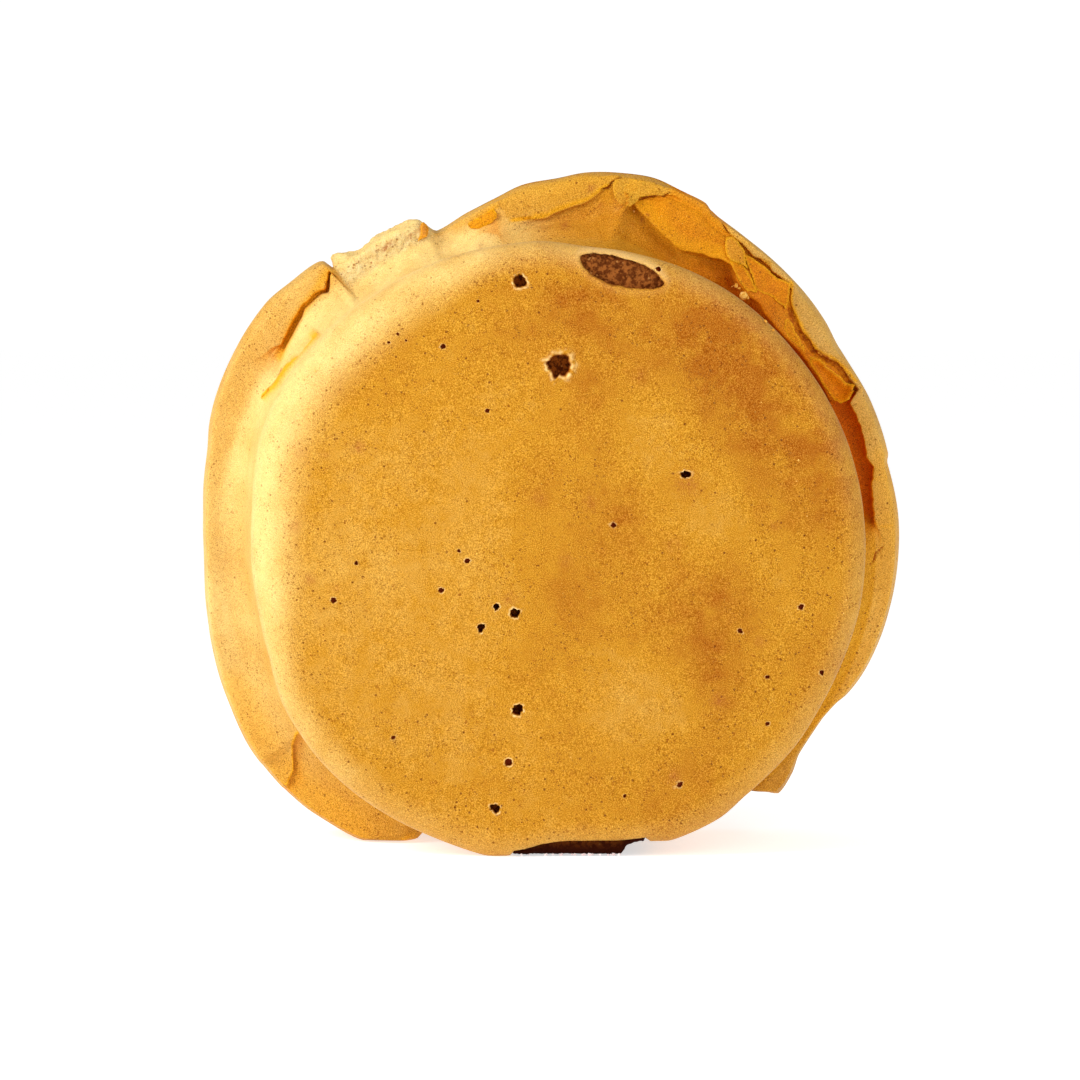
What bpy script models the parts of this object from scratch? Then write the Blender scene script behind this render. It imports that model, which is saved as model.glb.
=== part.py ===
"""A coated sandwich biscuit (alfajor) standing on its edge.

Two solids. `coating` is the caramel shell: a smooth front disc, a waist and a wider
back disc whose front has cracked and flaked away over the upper right. `biscuit` is the
dark core it covers, which shows through an oval bare patch, through burst bubbles and
along the bare strip the piece stands on.

Lengths are written in millimetres and scaled once, where a mesh is made. X is to the
right of the front face, Y points into the biscuit from the front, Z is up. The faces are
round about an axis through (AXIS_X, AXIS_Z), and angles are in degrees from +X towards +Z.
"""
import math

import bmesh
import bpy
from mathutils import Vector, noise

MM = 0.001

# ---------------------------------------------------------------- driving dimensions
AXIS_X = 0.42            # the axis of both discs, above the middle of the foot
AXIS_Z = 30.18
FRONT_Y = -12.5          # front of the front disc
BACK_Y = 12.5            # back of the back disc
FRONT_DROP = 0.35        # how far the front face falls back from its middle to its edge
BAND_Y = 2.6             # front of the back disc
GROOVE_Y = 5.6           # floor of the recess where the back disc has flaked
WAIST_R_MIN = 29.1       # least radius of the waist
CORE_R = 28.0            # biscuit radius under the coating
CORE_FRONT_Y = -11.1
CORE_BACK_Y = 11.2
GAP = 0.3                # clearance between the biscuit and the coating

# Edge of the front disc: angle, radius.
FRONT_R = [
    (0, 30.35), (30, 30.35), (52, 30.3), (62, 30.2), (70, 30.0), (76, 29.85), (84, 29.65),
    (93, 30.05), (100, 30.15), (118, 30.45), (125, 30.55), (136, 30.85), (149, 31.2),
    (159, 31.0), (168, 30.4), (176, 30.0), (190, 29.85), (200, 30.05), (205, 30.45),
    (212, 30.95), (225, 31.1), (240, 31.0), (248, 30.85), (257, 30.95), (262, 30.3),
    (267, 29.2), (272, 28.9), (277, 29.2), (283, 29.7), (288, 30.2), (292, 30.85),
    (301, 31.0), (308, 30.6), (320, 30.45), (330, 30.2), (340, 30.25), (350, 30.35)]

# Rounding of the front edge: narrow on the right, broad and soft on the upper left.
EDGE_R = [(0, 1.9), (60, 1.8), (100, 2.4), (118, 4.2), (145, 5.2), (185, 4.4), (205, 2.6),
          (250, 2.4), (270, 1.8), (300, 2.2), (340, 1.9)]

# Outline of the back disc, with its two broken ends at the foot (245 and 308 degrees).
SKIRT_R = [
    (3, 34.65), (11, 34.4), (13, 34.35), (14.5, 34.65), (23, 34.7), (34, 34.45), (39, 34.9),
    (49, 35.5), (59, 36.0), (64.5, 36.55), (66, 37.05), (70, 37.25), (75, 37.65),
    (80, 37.4), (85, 37.0), (90, 36.25), (95, 35.8), (100, 34.8), (105, 34.0), (111, 33.2),
    (112.4, 34.1), (113.4, 34.9), (115, 35.3), (120.5, 35.4), (123.6, 35.1), (126, 35.6),
    (128.1, 36.2), (128.6, 34.2), (129.4, 34.6), (130, 36.5), (131, 36.7), (136, 37.1),
    (141, 37.55), (147, 37.45), (156, 37.1), (161, 36.75), (166, 36.1), (171, 35.85),
    (177, 35.5), (182, 35.4), (192, 35.9), (197, 36.3), (206, 36.85), (216, 37.4),
    (221, 37.35), (226, 37.1), (231, 36.6), (236, 36.1), (240, 35.3), (243.4, 34.2),
    (245.2, 33.2), (246.4, 31.4), (256, 30.9), (284, 30.9), (300, 31.2), (306.6, 31.4),
    (307.8, 32.3), (310, 33.6), (311.3, 34.35), (315, 33.85), (319, 32.9), (325.5, 32.6),
    (329.5, 32.95), (331.6, 33.4), (336.6, 34.0), (343.5, 34.4), (352, 34.6)]

# Inner, broken edge of the smooth band on the back disc.
LEDGE_R = [
    (2.6, 32.0), (7, 32.05), (10.7, 32.3), (12.7, 32.65), (15.7, 32.35), (22.8, 32.65),
    (24.8, 32.5), (26.9, 33.9), (29, 33.6), (32, 33.35), (34, 32.7), (36, 32.3), (40, 32.4),
    (42, 32.7), (45, 33.3), (46.2, 33.9), (47.7, 34.9), (51.2, 34.5), (52.3, 35.2),
    (55.3, 34.7), (60, 35.3), (66, 35.0), (74, 35.2), (78.8, 35.4), (80.4, 36.1),
    (81.8, 35.7), (82.8, 35.0), (84.8, 33.9), (86.9, 33.4), (89.9, 32.7), (92, 32.15),
    (98, 32.1),
    (99.4, 33.7), (103.4, 33.05), (105.3, 32.7), (111, 32.6), (114.5, 32.95),
    (124.7, 32.9), (128.7, 32.65), (129.8, 35.2), (132.8, 34.75), (136.8, 34.5),
    (140, 34.2), (142, 33.8), (146, 33.25), (150, 32.6), (180, 32.6), (300, 32.2),
    (350, 32.3)]

# Inner edge of the recess, where it starts well away from the waist.
RECESS_R = [(0, 0.0), (128.4, 0.0), (131, 32.6), (132.3, 33.25), (134, 33.85),
            (137, 33.7), (141, 33.35), (144, 33.1), (148, 32.4), (151, 0.0), (359, 0.0)]

# How deep the recess is: 1 is a full step down to GROOVE_Y, 0 a smooth fillet.
STEP = [(0, 0.15), (3, 0.5), (7, 1.0), (58, 1.0), (61, 0.75), (77, 0.75), (80, 1.0),
        (84, 0.85), (92, 0.6), (98, 0.55), (100, 0.8), (105, 0.5), (111, 0.3),
        (113, 0.08), (127, 0.08), (129.6, 0.95), (140, 0.8), (146, 0.35), (151, 0.0), (350, 0.0)]

# How far the waist is undercut below the front edge.
UNDERCUT = [(0, 0.7), (8, 1.1), (60, 1.2), (98, 0.9), (112, 0.4), (135, -0.3), (160, -0.7),
            (205, -0.6), (225, -0.2), (244, 0.3), (260, 0.6), (306, 0.8), (345, 0.5)]

# Front of the band, pushed in where the foot has stepped away (218 degrees).
BAND_DY = [(0, 0.0), (58, 0.2), (66, 0.6), (80, 0.9), (100, 0.8), (111, 1.6), (113, 0.0),
           (127.6, 0.2), (128.8, 1.6), (129.8, -0.3), (150, -0.2), (216.8, -0.3),
           (218.2, 0.3), (224, -0.2), (234, -2.0), (243, -3.2), (247, 0.0), (258, 1.5),
           (305, 1.5), (311, 0.2), (330, 0.2)]

# Broken skin that still bridges the recess: where it is, its inner edge, its front y
# there, the floor of the gap under that edge, and the crack that parts it from the band.
PLATE = [(0, 0.0), (25.6, 0.0), (27.4, 1.0), (77.5, 1.0), (79.5, 0.0)]
PLATE_R = [(26, 30.9), (38, 31.0), (42.7, 31.2), (48.4, 31.6), (52.3, 31.2), (54.7, 31.6),
           (57, 32.3), (59.4, 32.7), (62.4, 32.5), (64.4, 32.0), (66.5, 32.1), (69.5, 32.4),
           (73.6, 32.75), (77, 33.4)]
PLATE_Y = [(26, 2.7), (30, 2.3), (36, 2.5), (45, 1.7), (52, 1.1), (57, 0.9), (62, 1.4),
           (70, 1.7), (77, 2.5)]
UNDER_Y = [(26, 5.2), (50, 4.8), (58, 4.0), (64, 3.3), (78, 3.4)]
CRACK = [(26, 1.6), (29, 0.7), (33, 1.6), (43, 1.3), (47.5, 0.6), (52, 0.8), (58, 0.4),
         (61, 0.0), (80, 0.0)]

# Flakes lying on that skin: corners (angle, radius, front y), going round each one.
FLAKES = {
    "curl": [(26.2, 31.3, 2.3), (26.5, 33.2, 1.7), (27.6, 33.9, 1.7), (31, 33.35, 1.9),
             (33, 32.6, 2.2), (34.6, 31.5, 2.5)],
    "tile": [(43.6, 31.4, 1.7), (45.2, 32.6, 1.4), (49.3, 32.5, 1.2), (51.0, 31.8, 1.2)],
    "plate": [(45.4, 32.9, 1.8), (47.9, 35.0, 2.5), (49.3, 34.8, 2.5), (52.3, 35.3, 2.5),
              (55.3, 34.0, 1.6), (56.2, 33.3, 1.3), (51.2, 32.3, 1.2)],
    "point": [(51.6, 31.5, 0.8), (53.4, 33.0, 0.5), (56.8, 33.6, 0.5), (58.3, 32.7, 0.8),
              (56.4, 31.9, 1.0), (53.3, 31.1, 1.1)],
    "fin": [(56.6, 33.6, 1.4), (59.4, 35.3, 2.2), (60.4, 34.6, 2.0), (59.5, 33.0, 1.1)],
    "tongue": [(73.2, 36.0, 3.1), (75.5, 35.0, 2.4), (76.2, 34.4, 2.0), (77.2, 33.9, 1.7),
               (78.8, 33.8, 1.7), (79.9, 34.4, 1.9), (80.7, 35.8, 2.5), (80.2, 36.6, 3.1)],
}
FLAKE_ROOT_Y = 7.2       # flakes run back into the disc to here

# Bare oval on the front face: x, z of its edge.
BARE_PATCH = [(2.95, 58.3), (3.7, 58.95), (5.9, 58.8), (8.6, 58.05), (10.1, 57.2),
              (11.0, 56.1), (9.6, 55.7), (7.2, 55.75), (4.8, 56.4), (3.4, 57.3)]

PATCH_MIDDLE = (7.0, 57.3)
PATCH_TILT = math.radians(-16)
PATCH_HALF = (3.9, 1.3)
PATCH_RISE = 0.6

# Burst bubbles that go through the coating: x, z, radius.
BUBBLES = [(0.6, 48.1, 1.17), (-3.1, 56.4, 0.63), (13.1, 37.5, 0.44), (-3.5, 24.0, 0.49),
           (-5.4, 24.6, 0.36), (-6.9, 22.6, 0.4), (-3.3, 14.6, 0.49), (-5.5, 4.9, 0.49)]

# Bare strip at the foot: the biscuit reaches the ground between these angles, and runs
# out to them from its round shape over the two slopes.
STRIP = (262.4, 284.5)
STRIP_SLOPES = (3.0, 3.5)

# Where the broken lump on the upper left is rough, and how rough it and the crumb are.
LUMP = (111.8, 129.2)
LUMP_ROUGH = (0.2, 0.4)
CRUMB_ROUGH = 0.22


# ---------------------------------------------------------------- helpers
def lookup(points, deg):
    """Straight-line value of a table that goes once round the disc."""
    deg = deg % 360.0
    before = (points[-1][0] - 360.0, points[-1][1])
    for after in points + [(points[0][0] + 360.0, points[0][1])]:
        if deg <= after[0]:
            t = (deg - before[0]) / (after[0] - before[0])
            return mix(before[1], after[1], t)
        before = after
    return before[1]


def mix(a, b, t):
    return a + (b - a) * t


def mix_sections(first, second, t):
    return [(mix(a[0], b[0], t), mix(a[1], b[1], t)) for a, b in zip(first, second)]


def spread(*runs):
    """Angles from (start, stop, step) runs."""
    out = []
    for start, stop, step in runs:
        count = round((stop - start) / step)
        out += [start + (stop - start) * i / count for i in range(count)]
    return out


def place(deg, r, y):
    """A point in millimetres, kept on or above the ground."""
    a = math.radians(deg)
    return Vector((AXIS_X + r * math.cos(a), y, max(AXIS_Z + r * math.sin(a), 0.0)))


def ground(deg, r):
    """A radius held back to the ground under the disc."""
    s = -math.sin(math.radians(deg))
    return min(r, AXIS_Z / s) if s > 0.2 else r


def material(name, colour, roughness):
    mat = bpy.data.materials.new(name)
    mat.use_nodes = True
    shader = mat.node_tree.nodes["Principled BSDF"]
    shader.inputs["Base Color"].default_value = (*colour, 1.0)
    shader.inputs["Roughness"].default_value = roughness
    return mat


def finish(name, bm, mat=None, collection=None):
    """Turn a bmesh in millimetres into an object in metres."""
    bmesh.ops.triangulate(bm, faces=bm.faces)
    bmesh.ops.recalc_face_normals(bm, faces=bm.faces)
    bmesh.ops.scale(bm, vec=(MM, MM, MM), verts=bm.verts)
    mesh = bpy.data.meshes.new(name)
    bm.to_mesh(mesh)
    bm.free()
    if mat:
        mesh.materials.append(mat)
        mesh.shade_smooth()
    obj = bpy.data.objects.new(name, mesh)
    (collection or bpy.context.scene.collection).objects.link(obj)
    return obj


def turned(angles, section, front, back):
    """A closed body whose section changes with the angle; front and back are its middles."""
    bm = bmesh.new()
    columns = [[bm.verts.new(place(a, r, y)) for r, y in section(a)] for a in angles]
    first = bm.verts.new((AXIS_X, front, AXIS_Z))
    last = bm.verts.new((AXIS_X, back, AXIS_Z))
    for i, here in enumerate(columns):
        there = columns[(i + 1) % len(columns)]
        bm.faces.new((first, here[0], there[0]))
        for j in range(len(here) - 1):
            bm.faces.new((here[j], here[j + 1], there[j + 1], there[j]))
        bm.faces.new((here[-1], last, there[-1]))
    return bm


def prism(corners, y_back):
    """A closed block: corners are (x, y, z) on its front, carried straight back."""
    bm = bmesh.new()
    front = [bm.verts.new(c) for c in corners]
    back = [bm.verts.new((c[0], y_back, c[2])) for c in corners]
    bm.faces.new(front)
    bm.faces.new(list(reversed(back)))
    for i in range(len(front)):
        j = (i + 1) % len(front)
        bm.faces.new((front[i], back[i], back[j], front[j]))
    return bm


def cutter(name, bm):
    obj = finish(name, bm)
    obj.hide_render = True
    obj.display_type = "WIRE"
    return obj


# ---------------------------------------------------------------- coating
def front_disc(rim, deg):
    """The face, its rounded edge and the wall behind it."""
    edge = lookup(EDGE_R, deg)
    waist = waist_radius(rim, deg)
    middle_y = FRONT_Y + FRONT_DROP + edge
    points = [(10.0, FRONT_Y + 0.05), (19.0, FRONT_Y + 0.12), (25.0, FRONT_Y + 0.24)]
    for t in (0, 35, 65, 90):
        t = math.radians(t)
        points.append((rim - edge + edge * math.sin(t), middle_y - edge * math.cos(t)))
    return points + [(rim - 0.1, -6.0), (mix(rim, waist, 0.8), -2.6)]


def waist_radius(rim, deg):
    return max(rim - lookup(UNDERCUT, deg), WAIST_R_MIN)


def fillet(waist, skirt, band):
    """A smooth hollow that runs from the waist out on to the band."""
    points = []
    for t in (0.12, 0.3, 0.48, 0.64, 0.8, 0.92):
        ease = mix(t, t * t * (3.0 - 2.0 * t), 0.5)
        points.append((mix(waist, skirt - 1.2, ease), mix(-1.6, band, 1.0 - (1.0 - t) ** 3)))
    return points


def open_recess(deg, waist, ledge, band, step):
    """Where the skin is gone: down to a floor, then up the broken edge of the band."""
    start = min(max(lookup(RECESS_R, deg), waist + 0.15), ledge - 0.35)
    floor = mix(band, GROOVE_Y, step)
    return [(mix(waist, start, 0.5), 0.4), (start, mix(band, floor, 0.55)),
            (mix(start, ledge, 0.4), floor), (ledge - 0.12, floor),
            (ledge, band + 0.35), (ledge + 0.35, band)]


def bridged_recess(deg, waist, ledge, band):
    """Where cracked skin still leans over the recess, with a dark gap under its edge."""
    inner = lookup(PLATE_R, deg)
    front = lookup(PLATE_Y, deg)
    under = lookup(UNDER_Y, deg)
    return [(mix(waist, inner, 0.35), under - 0.9), (inner - 0.12, under),
            (inner, front + 0.3), (mix(inner, ledge, 0.45), mix(front, band, 0.4)),
            (ledge - 0.12, band + lookup(CRACK, deg)), (ledge + 0.15, band)]


def back_disc(start, skirt, band):
    """The band, its rounded rim and the back face."""
    return [(mix(start, skirt, 0.62), band + 0.15), (skirt - 0.32, band + 0.95),
            (skirt, band + 2.3), (skirt, 8.6), (skirt - 0.6, 11.2),
            (skirt - 2.2, BACK_Y - 0.1), (20.0, BACK_Y)]


def coating_section(deg):
    """The coating's outside, from the middle of the front to the middle of the back."""
    rim = lookup(FRONT_R, deg)
    waist = waist_radius(rim, deg)
    skirt = ground(deg, lookup(SKIRT_R, deg))
    step = lookup(STEP, deg)
    band = BAND_Y + lookup(BAND_DY, deg)
    ledge = min(lookup(LEDGE_R, deg), skirt - 0.9)

    front = front_disc(rim, deg)
    broken = mix_sections(open_recess(deg, waist, ledge, band, step),
                          bridged_recess(deg, waist, ledge, band), lookup(PLATE, deg))
    hollow = mix_sections(fillet(waist, skirt, band), broken, min(step * 1.6, 1.0))
    back = back_disc(max(ledge, hollow[-1][0]), skirt, band)
    if LUMP[0] < deg < LUMP[1]:
        rough = [roughened(deg, point) for point in hollow[4:] + back[:4]]
        hollow[4:] = rough[:2]
        back[:4] = rough[2:]
    return [(ground(deg, r), y) for r, y in front + hollow + back]


def roughened(deg, point):
    r, y = point
    n = noise.noise(Vector((deg * 0.9, r * 1.3, y * 1.1)))
    return (r + LUMP_ROUGH[0] * n, y + LUMP_ROUGH[1] * n)


def add_flakes(coating):
    """Fuse the flakes to the coating with one union."""
    flakes = bpy.data.collections.new("flakes")
    bpy.context.scene.collection.children.link(flakes)
    for label, corners in FLAKES.items():
        block = prism([place(*corner) for corner in corners], FLAKE_ROOT_Y)
        finish("flake_" + label, block, collection=flakes)
    join = coating.modifiers.new("flakes", "BOOLEAN")
    join.operation = "UNION"
    join.solver = "EXACT"
    join.operand_type = "COLLECTION"
    join.collection = flakes
    bpy.context.view_layer.update()
    joined = coating.evaluated_get(bpy.context.evaluated_depsgraph_get())
    fused = bpy.data.meshes.new_from_object(joined)
    coating.modifiers.clear()
    coating.data = fused
    for block in list(flakes.objects):
        bpy.data.objects.remove(block, do_unlink=True)


# ---------------------------------------------------------------- biscuit
def core_radius(deg, widen=0.0):
    """The biscuit is round, apart from the strip where it reaches the ground."""
    into = (deg - STRIP[0] + widen) / STRIP_SLOPES[0] + 1.0
    out = (STRIP[1] - deg + widen) / STRIP_SLOPES[1] + 1.0
    rise = min(into, out, 1.0)
    if rise <= 0.0:
        return CORE_R
    return mix(CORE_R, AXIS_Z / -math.sin(math.radians(deg)), rise)


def core_rise(x, z):
    """How far the biscuit stands forward inside the bare patch, to be nearly flush."""
    dx, dz = x - PATCH_MIDDLE[0], z - PATCH_MIDDLE[1]
    along = dx * math.cos(PATCH_TILT) + dz * math.sin(PATCH_TILT)
    across = dz * math.cos(PATCH_TILT) - dx * math.sin(PATCH_TILT)
    e = math.hypot(along / PATCH_HALF[0], across / PATCH_HALF[1])
    t = min(max((1.0 - e) / 0.45, 0.0), 1.0)
    return PATCH_RISE * t * t * (3.0 - 2.0 * t)


def core_section(deg, grow=0.0):
    """Section of the biscuit, made bigger all round by `grow`."""
    r = core_radius(deg, 2.0 * math.degrees(grow / CORE_R)) + grow
    front = CORE_FRONT_Y - grow
    back = CORE_BACK_Y + grow
    edge = 0.5 if core_radius(deg) > CORE_R else 1.1
    return [(12.0, front), (22.0, front), (24.6, front), (25.5, front), (26.3, front),
            (r - edge, front + 0.05), (r, front + edge), (r, -5.0), (r, 1.0), (r, 7.0),
            (r, back - 0.8), (r - 0.8, back), (18.0, back)]


def crumb_section(deg):
    """The same section with a crumbly surface, which only ever goes inwards."""
    a = math.radians(deg)
    flat = core_radius(deg) > CORE_R
    points = []
    for r, y in core_section(deg):
        x, z = r * math.cos(a), r * math.sin(a)
        dent = CRUMB_ROUGH * abs(noise.noise(Vector((x, z, y)) * 0.55))
        if y < 0.6 * CORE_FRONT_Y:
            push = dent - core_rise(AXIS_X + x, AXIS_Z + z)
        else:
            push = -dent
        points.append((r if flat else r - dent, y + push))
    return points


def cavity_section(deg):
    return core_section(deg, GAP)


# ---------------------------------------------------------------- build
for old in list(bpy.data.objects):
    bpy.data.objects.remove(old, do_unlink=True)

caramel = material("caramel_coating", (0.66, 0.34, 0.045), 0.42)
brown = material("biscuit_crumb", (0.16, 0.06, 0.02), 0.85)

# Columns are close together where the disc is broken and far apart where it is smooth.
coating_angles = spread((0, 26, 2), (26, 62, 1.3), (62, 98, 1.9), (98, 150, 1.9),
                        (150, 214, 4), (214, 224, 1.6), (224, 240, 4), (240, 248, 1.3),
                        (248, 304, 3.5), (304, 334, 2.1), (334, 360, 3.7))
core_angles = spread((0, 65, 8), (65, 89, 1.6), (89, 258, 8.4), (258, 290, 2.2), (290, 360, 10))
cavity_angles = spread((0, 257, 8), (257, 265, 2), (265, 282, 4.3), (282, 290, 2), (290, 360, 10))

coating = finish("coating", turned(coating_angles, coating_section, FRONT_Y, BACK_Y), caramel)
add_flakes(coating)

cavity = cutter("cavity", turned(cavity_angles, cavity_section, CORE_FRONT_Y - GAP,
                                 CORE_BACK_Y + GAP))
# Along the strip the cavity goes on below the ground, so that the coating is open there.
for vertex in cavity.data.vertices:
    if vertex.co.z < 0.01 * MM:
        vertex.co.z = -2.0 * GAP * MM

through = (FRONT_Y - 1.0, CORE_FRONT_Y - 0.1)
openings = [cavity]
openings.append(cutter("patch", prism([(x, through[0], z) for x, z in BARE_PATCH], through[1])))
for number, (x, z, radius) in enumerate(BUBBLES):
    sides = 12 if radius > 1.0 else 8
    ring = []
    for k in range(sides):
        a = 2.0 * math.pi * k / sides
        r = radius * (1.0 + 0.12 * math.sin(3.0 * a + 2.1 * number))
        ring.append((x + r * math.cos(a), through[0], z + r * math.sin(a)))
    openings.append(cutter("bubble_%d" % number, prism(ring, through[1])))

for opening in openings:
    cut = coating.modifiers.new(opening.name, "BOOLEAN")
    cut.operation = "DIFFERENCE"
    cut.solver = "EXACT"
    cut.object = opening

biscuit = finish("biscuit", turned(core_angles, crumb_section, CORE_FRONT_Y, CORE_BACK_Y), brown)
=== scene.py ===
# %% [markdown]
# # A caramel alfajor that stands on its edge
#
# The real thing is a sandwich biscuit dipped in caramel glaze. It stands on a bare strip of
# its own biscuit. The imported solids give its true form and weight. This notebook dresses them:
# the glaze and the biscuit are modelled again with their fine relief, and get their finishes.

# %% Load the solids
import math

import bmesh
import bpy
import numpy as np
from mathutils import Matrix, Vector, geometry, noise


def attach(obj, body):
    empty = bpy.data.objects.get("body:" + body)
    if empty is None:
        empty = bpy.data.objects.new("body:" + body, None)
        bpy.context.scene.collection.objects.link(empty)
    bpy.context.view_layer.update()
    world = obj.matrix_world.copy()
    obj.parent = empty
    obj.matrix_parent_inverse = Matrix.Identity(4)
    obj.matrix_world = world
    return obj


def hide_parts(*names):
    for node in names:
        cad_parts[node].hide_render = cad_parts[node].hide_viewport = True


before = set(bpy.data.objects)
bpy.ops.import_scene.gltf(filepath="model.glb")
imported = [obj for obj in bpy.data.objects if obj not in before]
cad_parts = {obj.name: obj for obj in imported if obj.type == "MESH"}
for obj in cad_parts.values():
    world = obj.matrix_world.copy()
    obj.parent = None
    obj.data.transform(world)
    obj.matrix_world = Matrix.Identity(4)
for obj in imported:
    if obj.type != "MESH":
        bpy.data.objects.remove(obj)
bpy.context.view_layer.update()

MM = 0.001


def put(name, data):
    """A new object in the scene, at the origin."""
    obj = bpy.data.objects.new(name, data)
    bpy.context.scene.collection.objects.link(obj)
    return obj



# %% [markdown]
# ## Camera and studio
#
# A long lens a little above the table flattens the disc into a near circle. The camera is set
# first, so that every later step can be judged through it. A white world, one large soft lamp on
# the left and a weaker, wider one on the right make the plain bright studio. The world alone
# would give no gradient across the face, and a small lamp would give a hard shadow.

# %% Camera
CAMERA_RISE = math.radians(3.6)
CAMERA_DISTANCE = 500.0
CAMERA_AIM = Vector((-1.1, 0.0, 30.4))
FOCAL_PIXELS = 5008.5
IMAGE_PIXELS = 1080
SENSOR_MM = 36.0
NEAREST_SEEN = 10.0

camera = put("camera", bpy.data.cameras.new("camera"))
camera.data.sensor_width = SENSOR_MM
camera.data.lens = SENSOR_MM * FOCAL_PIXELS / IMAGE_PIXELS
camera.data.clip_start = NEAREST_SEEN * MM
toward_viewer = Vector((0.0, -math.cos(CAMERA_RISE), math.sin(CAMERA_RISE)))
camera.location = (CAMERA_AIM + CAMERA_DISTANCE * toward_viewer) * MM
camera.rotation_euler = (math.pi / 2 - CAMERA_RISE, 0.0, 0.0)
bpy.context.scene.camera = camera
print("lens, mm:", round(camera.data.lens, 1))

# %% Lamps and world
WALLS_SEEN, WALLS_LIGHT = 1.05, 0.5
LAMP_AIM = Vector((0.0, 0.0, 32.0))

world = bpy.data.worlds.new("white_studio")
world.use_nodes = True
studio = world.node_tree
lit, seen = studio.nodes["Background"], studio.nodes.new("ShaderNodeBackground")
path, choose = studio.nodes.new("ShaderNodeLightPath"), studio.nodes.new("ShaderNodeMixShader")
for wall, strength in ((lit, WALLS_LIGHT), (seen, WALLS_SEEN)):
    wall.inputs["Color"].default_value = (1.0, 1.0, 1.0, 1.0)
    wall.inputs["Strength"].default_value = strength
studio.links.new(path.outputs["Is Camera Ray"], choose.inputs[0])
studio.links.new(lit.outputs[0], choose.inputs[1])
studio.links.new(seen.outputs[0], choose.inputs[2])
studio.links.new(choose.outputs[0], studio.nodes["World Output"].inputs["Surface"])
bpy.context.scene.world = world
bpy.context.scene.view_settings.view_transform = "Standard"


def lamp(name, place, size, power):
    """A square soft lamp, aimed at the middle of the disc; place and size are in millimetres."""
    light = bpy.data.lights.new(name, "AREA")
    light.size = size * MM
    light.energy = power
    obj = put(name, light)
    obj.location = Vector(place) * MM
    obj.rotation_euler = (LAMP_AIM - Vector(place)).to_track_quat("-Z", "Y").to_euler()


lamp("key", (-185.0, -100.0, 145.0), 110.0, 0.48)
lamp("fill", (150.0, -200.0, 150.0), 200.0, 0.3)

# %% [markdown]
# ## The disc's plan
#
# Every outline on the object is a curve once round its axis: a radius or a depth for each angle.
# A handful of named points for each curve is enough. Straight lines between them would show as
# facets, and an ordinary spline swings past its points, so the curve between them is a cubic
# that never overshoots. Torn edges get a little noise on top.

# %% Curves once round the disc
AXIS_X = 0.42
AXIS_Z = 30.18


def once_round(points):
    """A smooth function of the angle through (degrees, value) points, without overshoot."""
    angles = np.array([p[0] for p in points], float)
    angles = np.concatenate([angles - 360.0, angles, angles + 360.0])
    values = np.tile(np.array([p[1] for p in points], float), 3)
    gap = np.diff(angles)
    slope = np.diff(values) / gap
    tangent = np.zeros_like(values)
    before, after = slope[:-1], slope[1:]
    wide = gap[:-1] + gap[1:]
    turning = before * after <= 0.0
    with np.errstate(divide="ignore", invalid="ignore"):
        mean = 3.0 * wide / ((wide + gap[1:]) / before + (wide + gap[:-1]) / after)
    tangent[1:-1] = np.where(turning, 0.0, mean)

    def curve(deg):
        deg = np.mod(deg, 360.0)
        i = np.searchsorted(angles, deg, side="right") - 1
        t = (deg - angles[i]) / gap[i]
        rise = values[i] * (1 + 2 * t) * (1 - t) ** 2 + values[i + 1] * t * t * (3 - 2 * t)
        return rise + gap[i] * (tangent[i] * t * (1 - t) ** 2 - tangent[i + 1] * t * t * (1 - t))

    return curve


def blend(a, b, t):
    return a + (b - a) * t


def ease(value, low, high):
    """0 below low, 1 above high, smooth between them."""
    t = np.clip((value - low) / (high - low), 0.0, 1.0)
    return t * t * (3.0 - 2.0 * t)


def between(deg, start, stop, soft=1.0):
    """1 inside a range of angles, fading out over `soft` degrees."""
    return ease(deg, start - soft, start) * (1.0 - ease(deg, stop, stop + soft))


def grit(points, size, seed=0):
    """Noise of -1 to 1 at each point; `size` is its grain in millimetres."""
    shift = Vector((seed * 7.3, seed * 3.1, seed * 5.7))
    return np.array([noise.noise(Vector(p) / size + shift) for p in points])


def jag(deg, seed):
    """The in and out of a torn edge, about -1 to 1, as a function of the angle."""
    out = np.zeros(len(deg))
    for step, height in ((2.6, 0.5), (1.1, 0.35), (0.5, 0.25)):
        out += height * grit([(d / step, seed, 0.0) for d in deg], 1.0, seed)
    return 1.6 * out


def points_at(deg, r, y):
    """(x, y, z) in millimetres, kept on or above the ground."""
    a = np.radians(deg)
    return np.stack([AXIS_X + r * np.cos(a), y + 0.0 * a,
                     np.maximum(AXIS_Z + r * np.sin(a), 0.0)], axis=-1)


# %% The outlines of the two discs
FRONT_Y, BACK_Y = -12.5, 12.5
FRONT_DROP = 0.35
BAND_FRONT = 2.6
WAIST_Y = -1.6
WAIST_LEAST = 29.1

front_radius = once_round([
    (0, 30.35), (30, 30.35), (52, 30.3), (62, 30.2), (70, 30.0), (76, 29.85), (84, 29.65),
    (93, 30.05), (100, 30.15), (118, 30.45), (125, 30.55), (136, 30.85), (149, 31.2),
    (159, 31.0), (168, 30.4), (176, 30.0), (190, 29.85), (200, 30.05), (205, 30.45),
    (212, 30.95), (225, 31.1), (240, 31.0), (248, 30.85), (257, 30.95), (263, 30.25),
    (265.6, 29.75), (267.4, 29.4), (272, 29.1), (277, 29.3), (283, 29.8), (288, 30.25), (292, 30.85),
    (301, 31.0), (308, 30.6), (320, 30.45), (330, 30.2), (340, 30.25), (350, 30.35)])

edge_rounding = once_round([
    (0, 1.9), (60, 1.8), (100, 2.4), (118, 4.2), (145, 5.2), (185, 4.4), (205, 2.6),
    (250, 2.4), (270, 1.8), (300, 2.2), (340, 1.9)])

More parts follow.
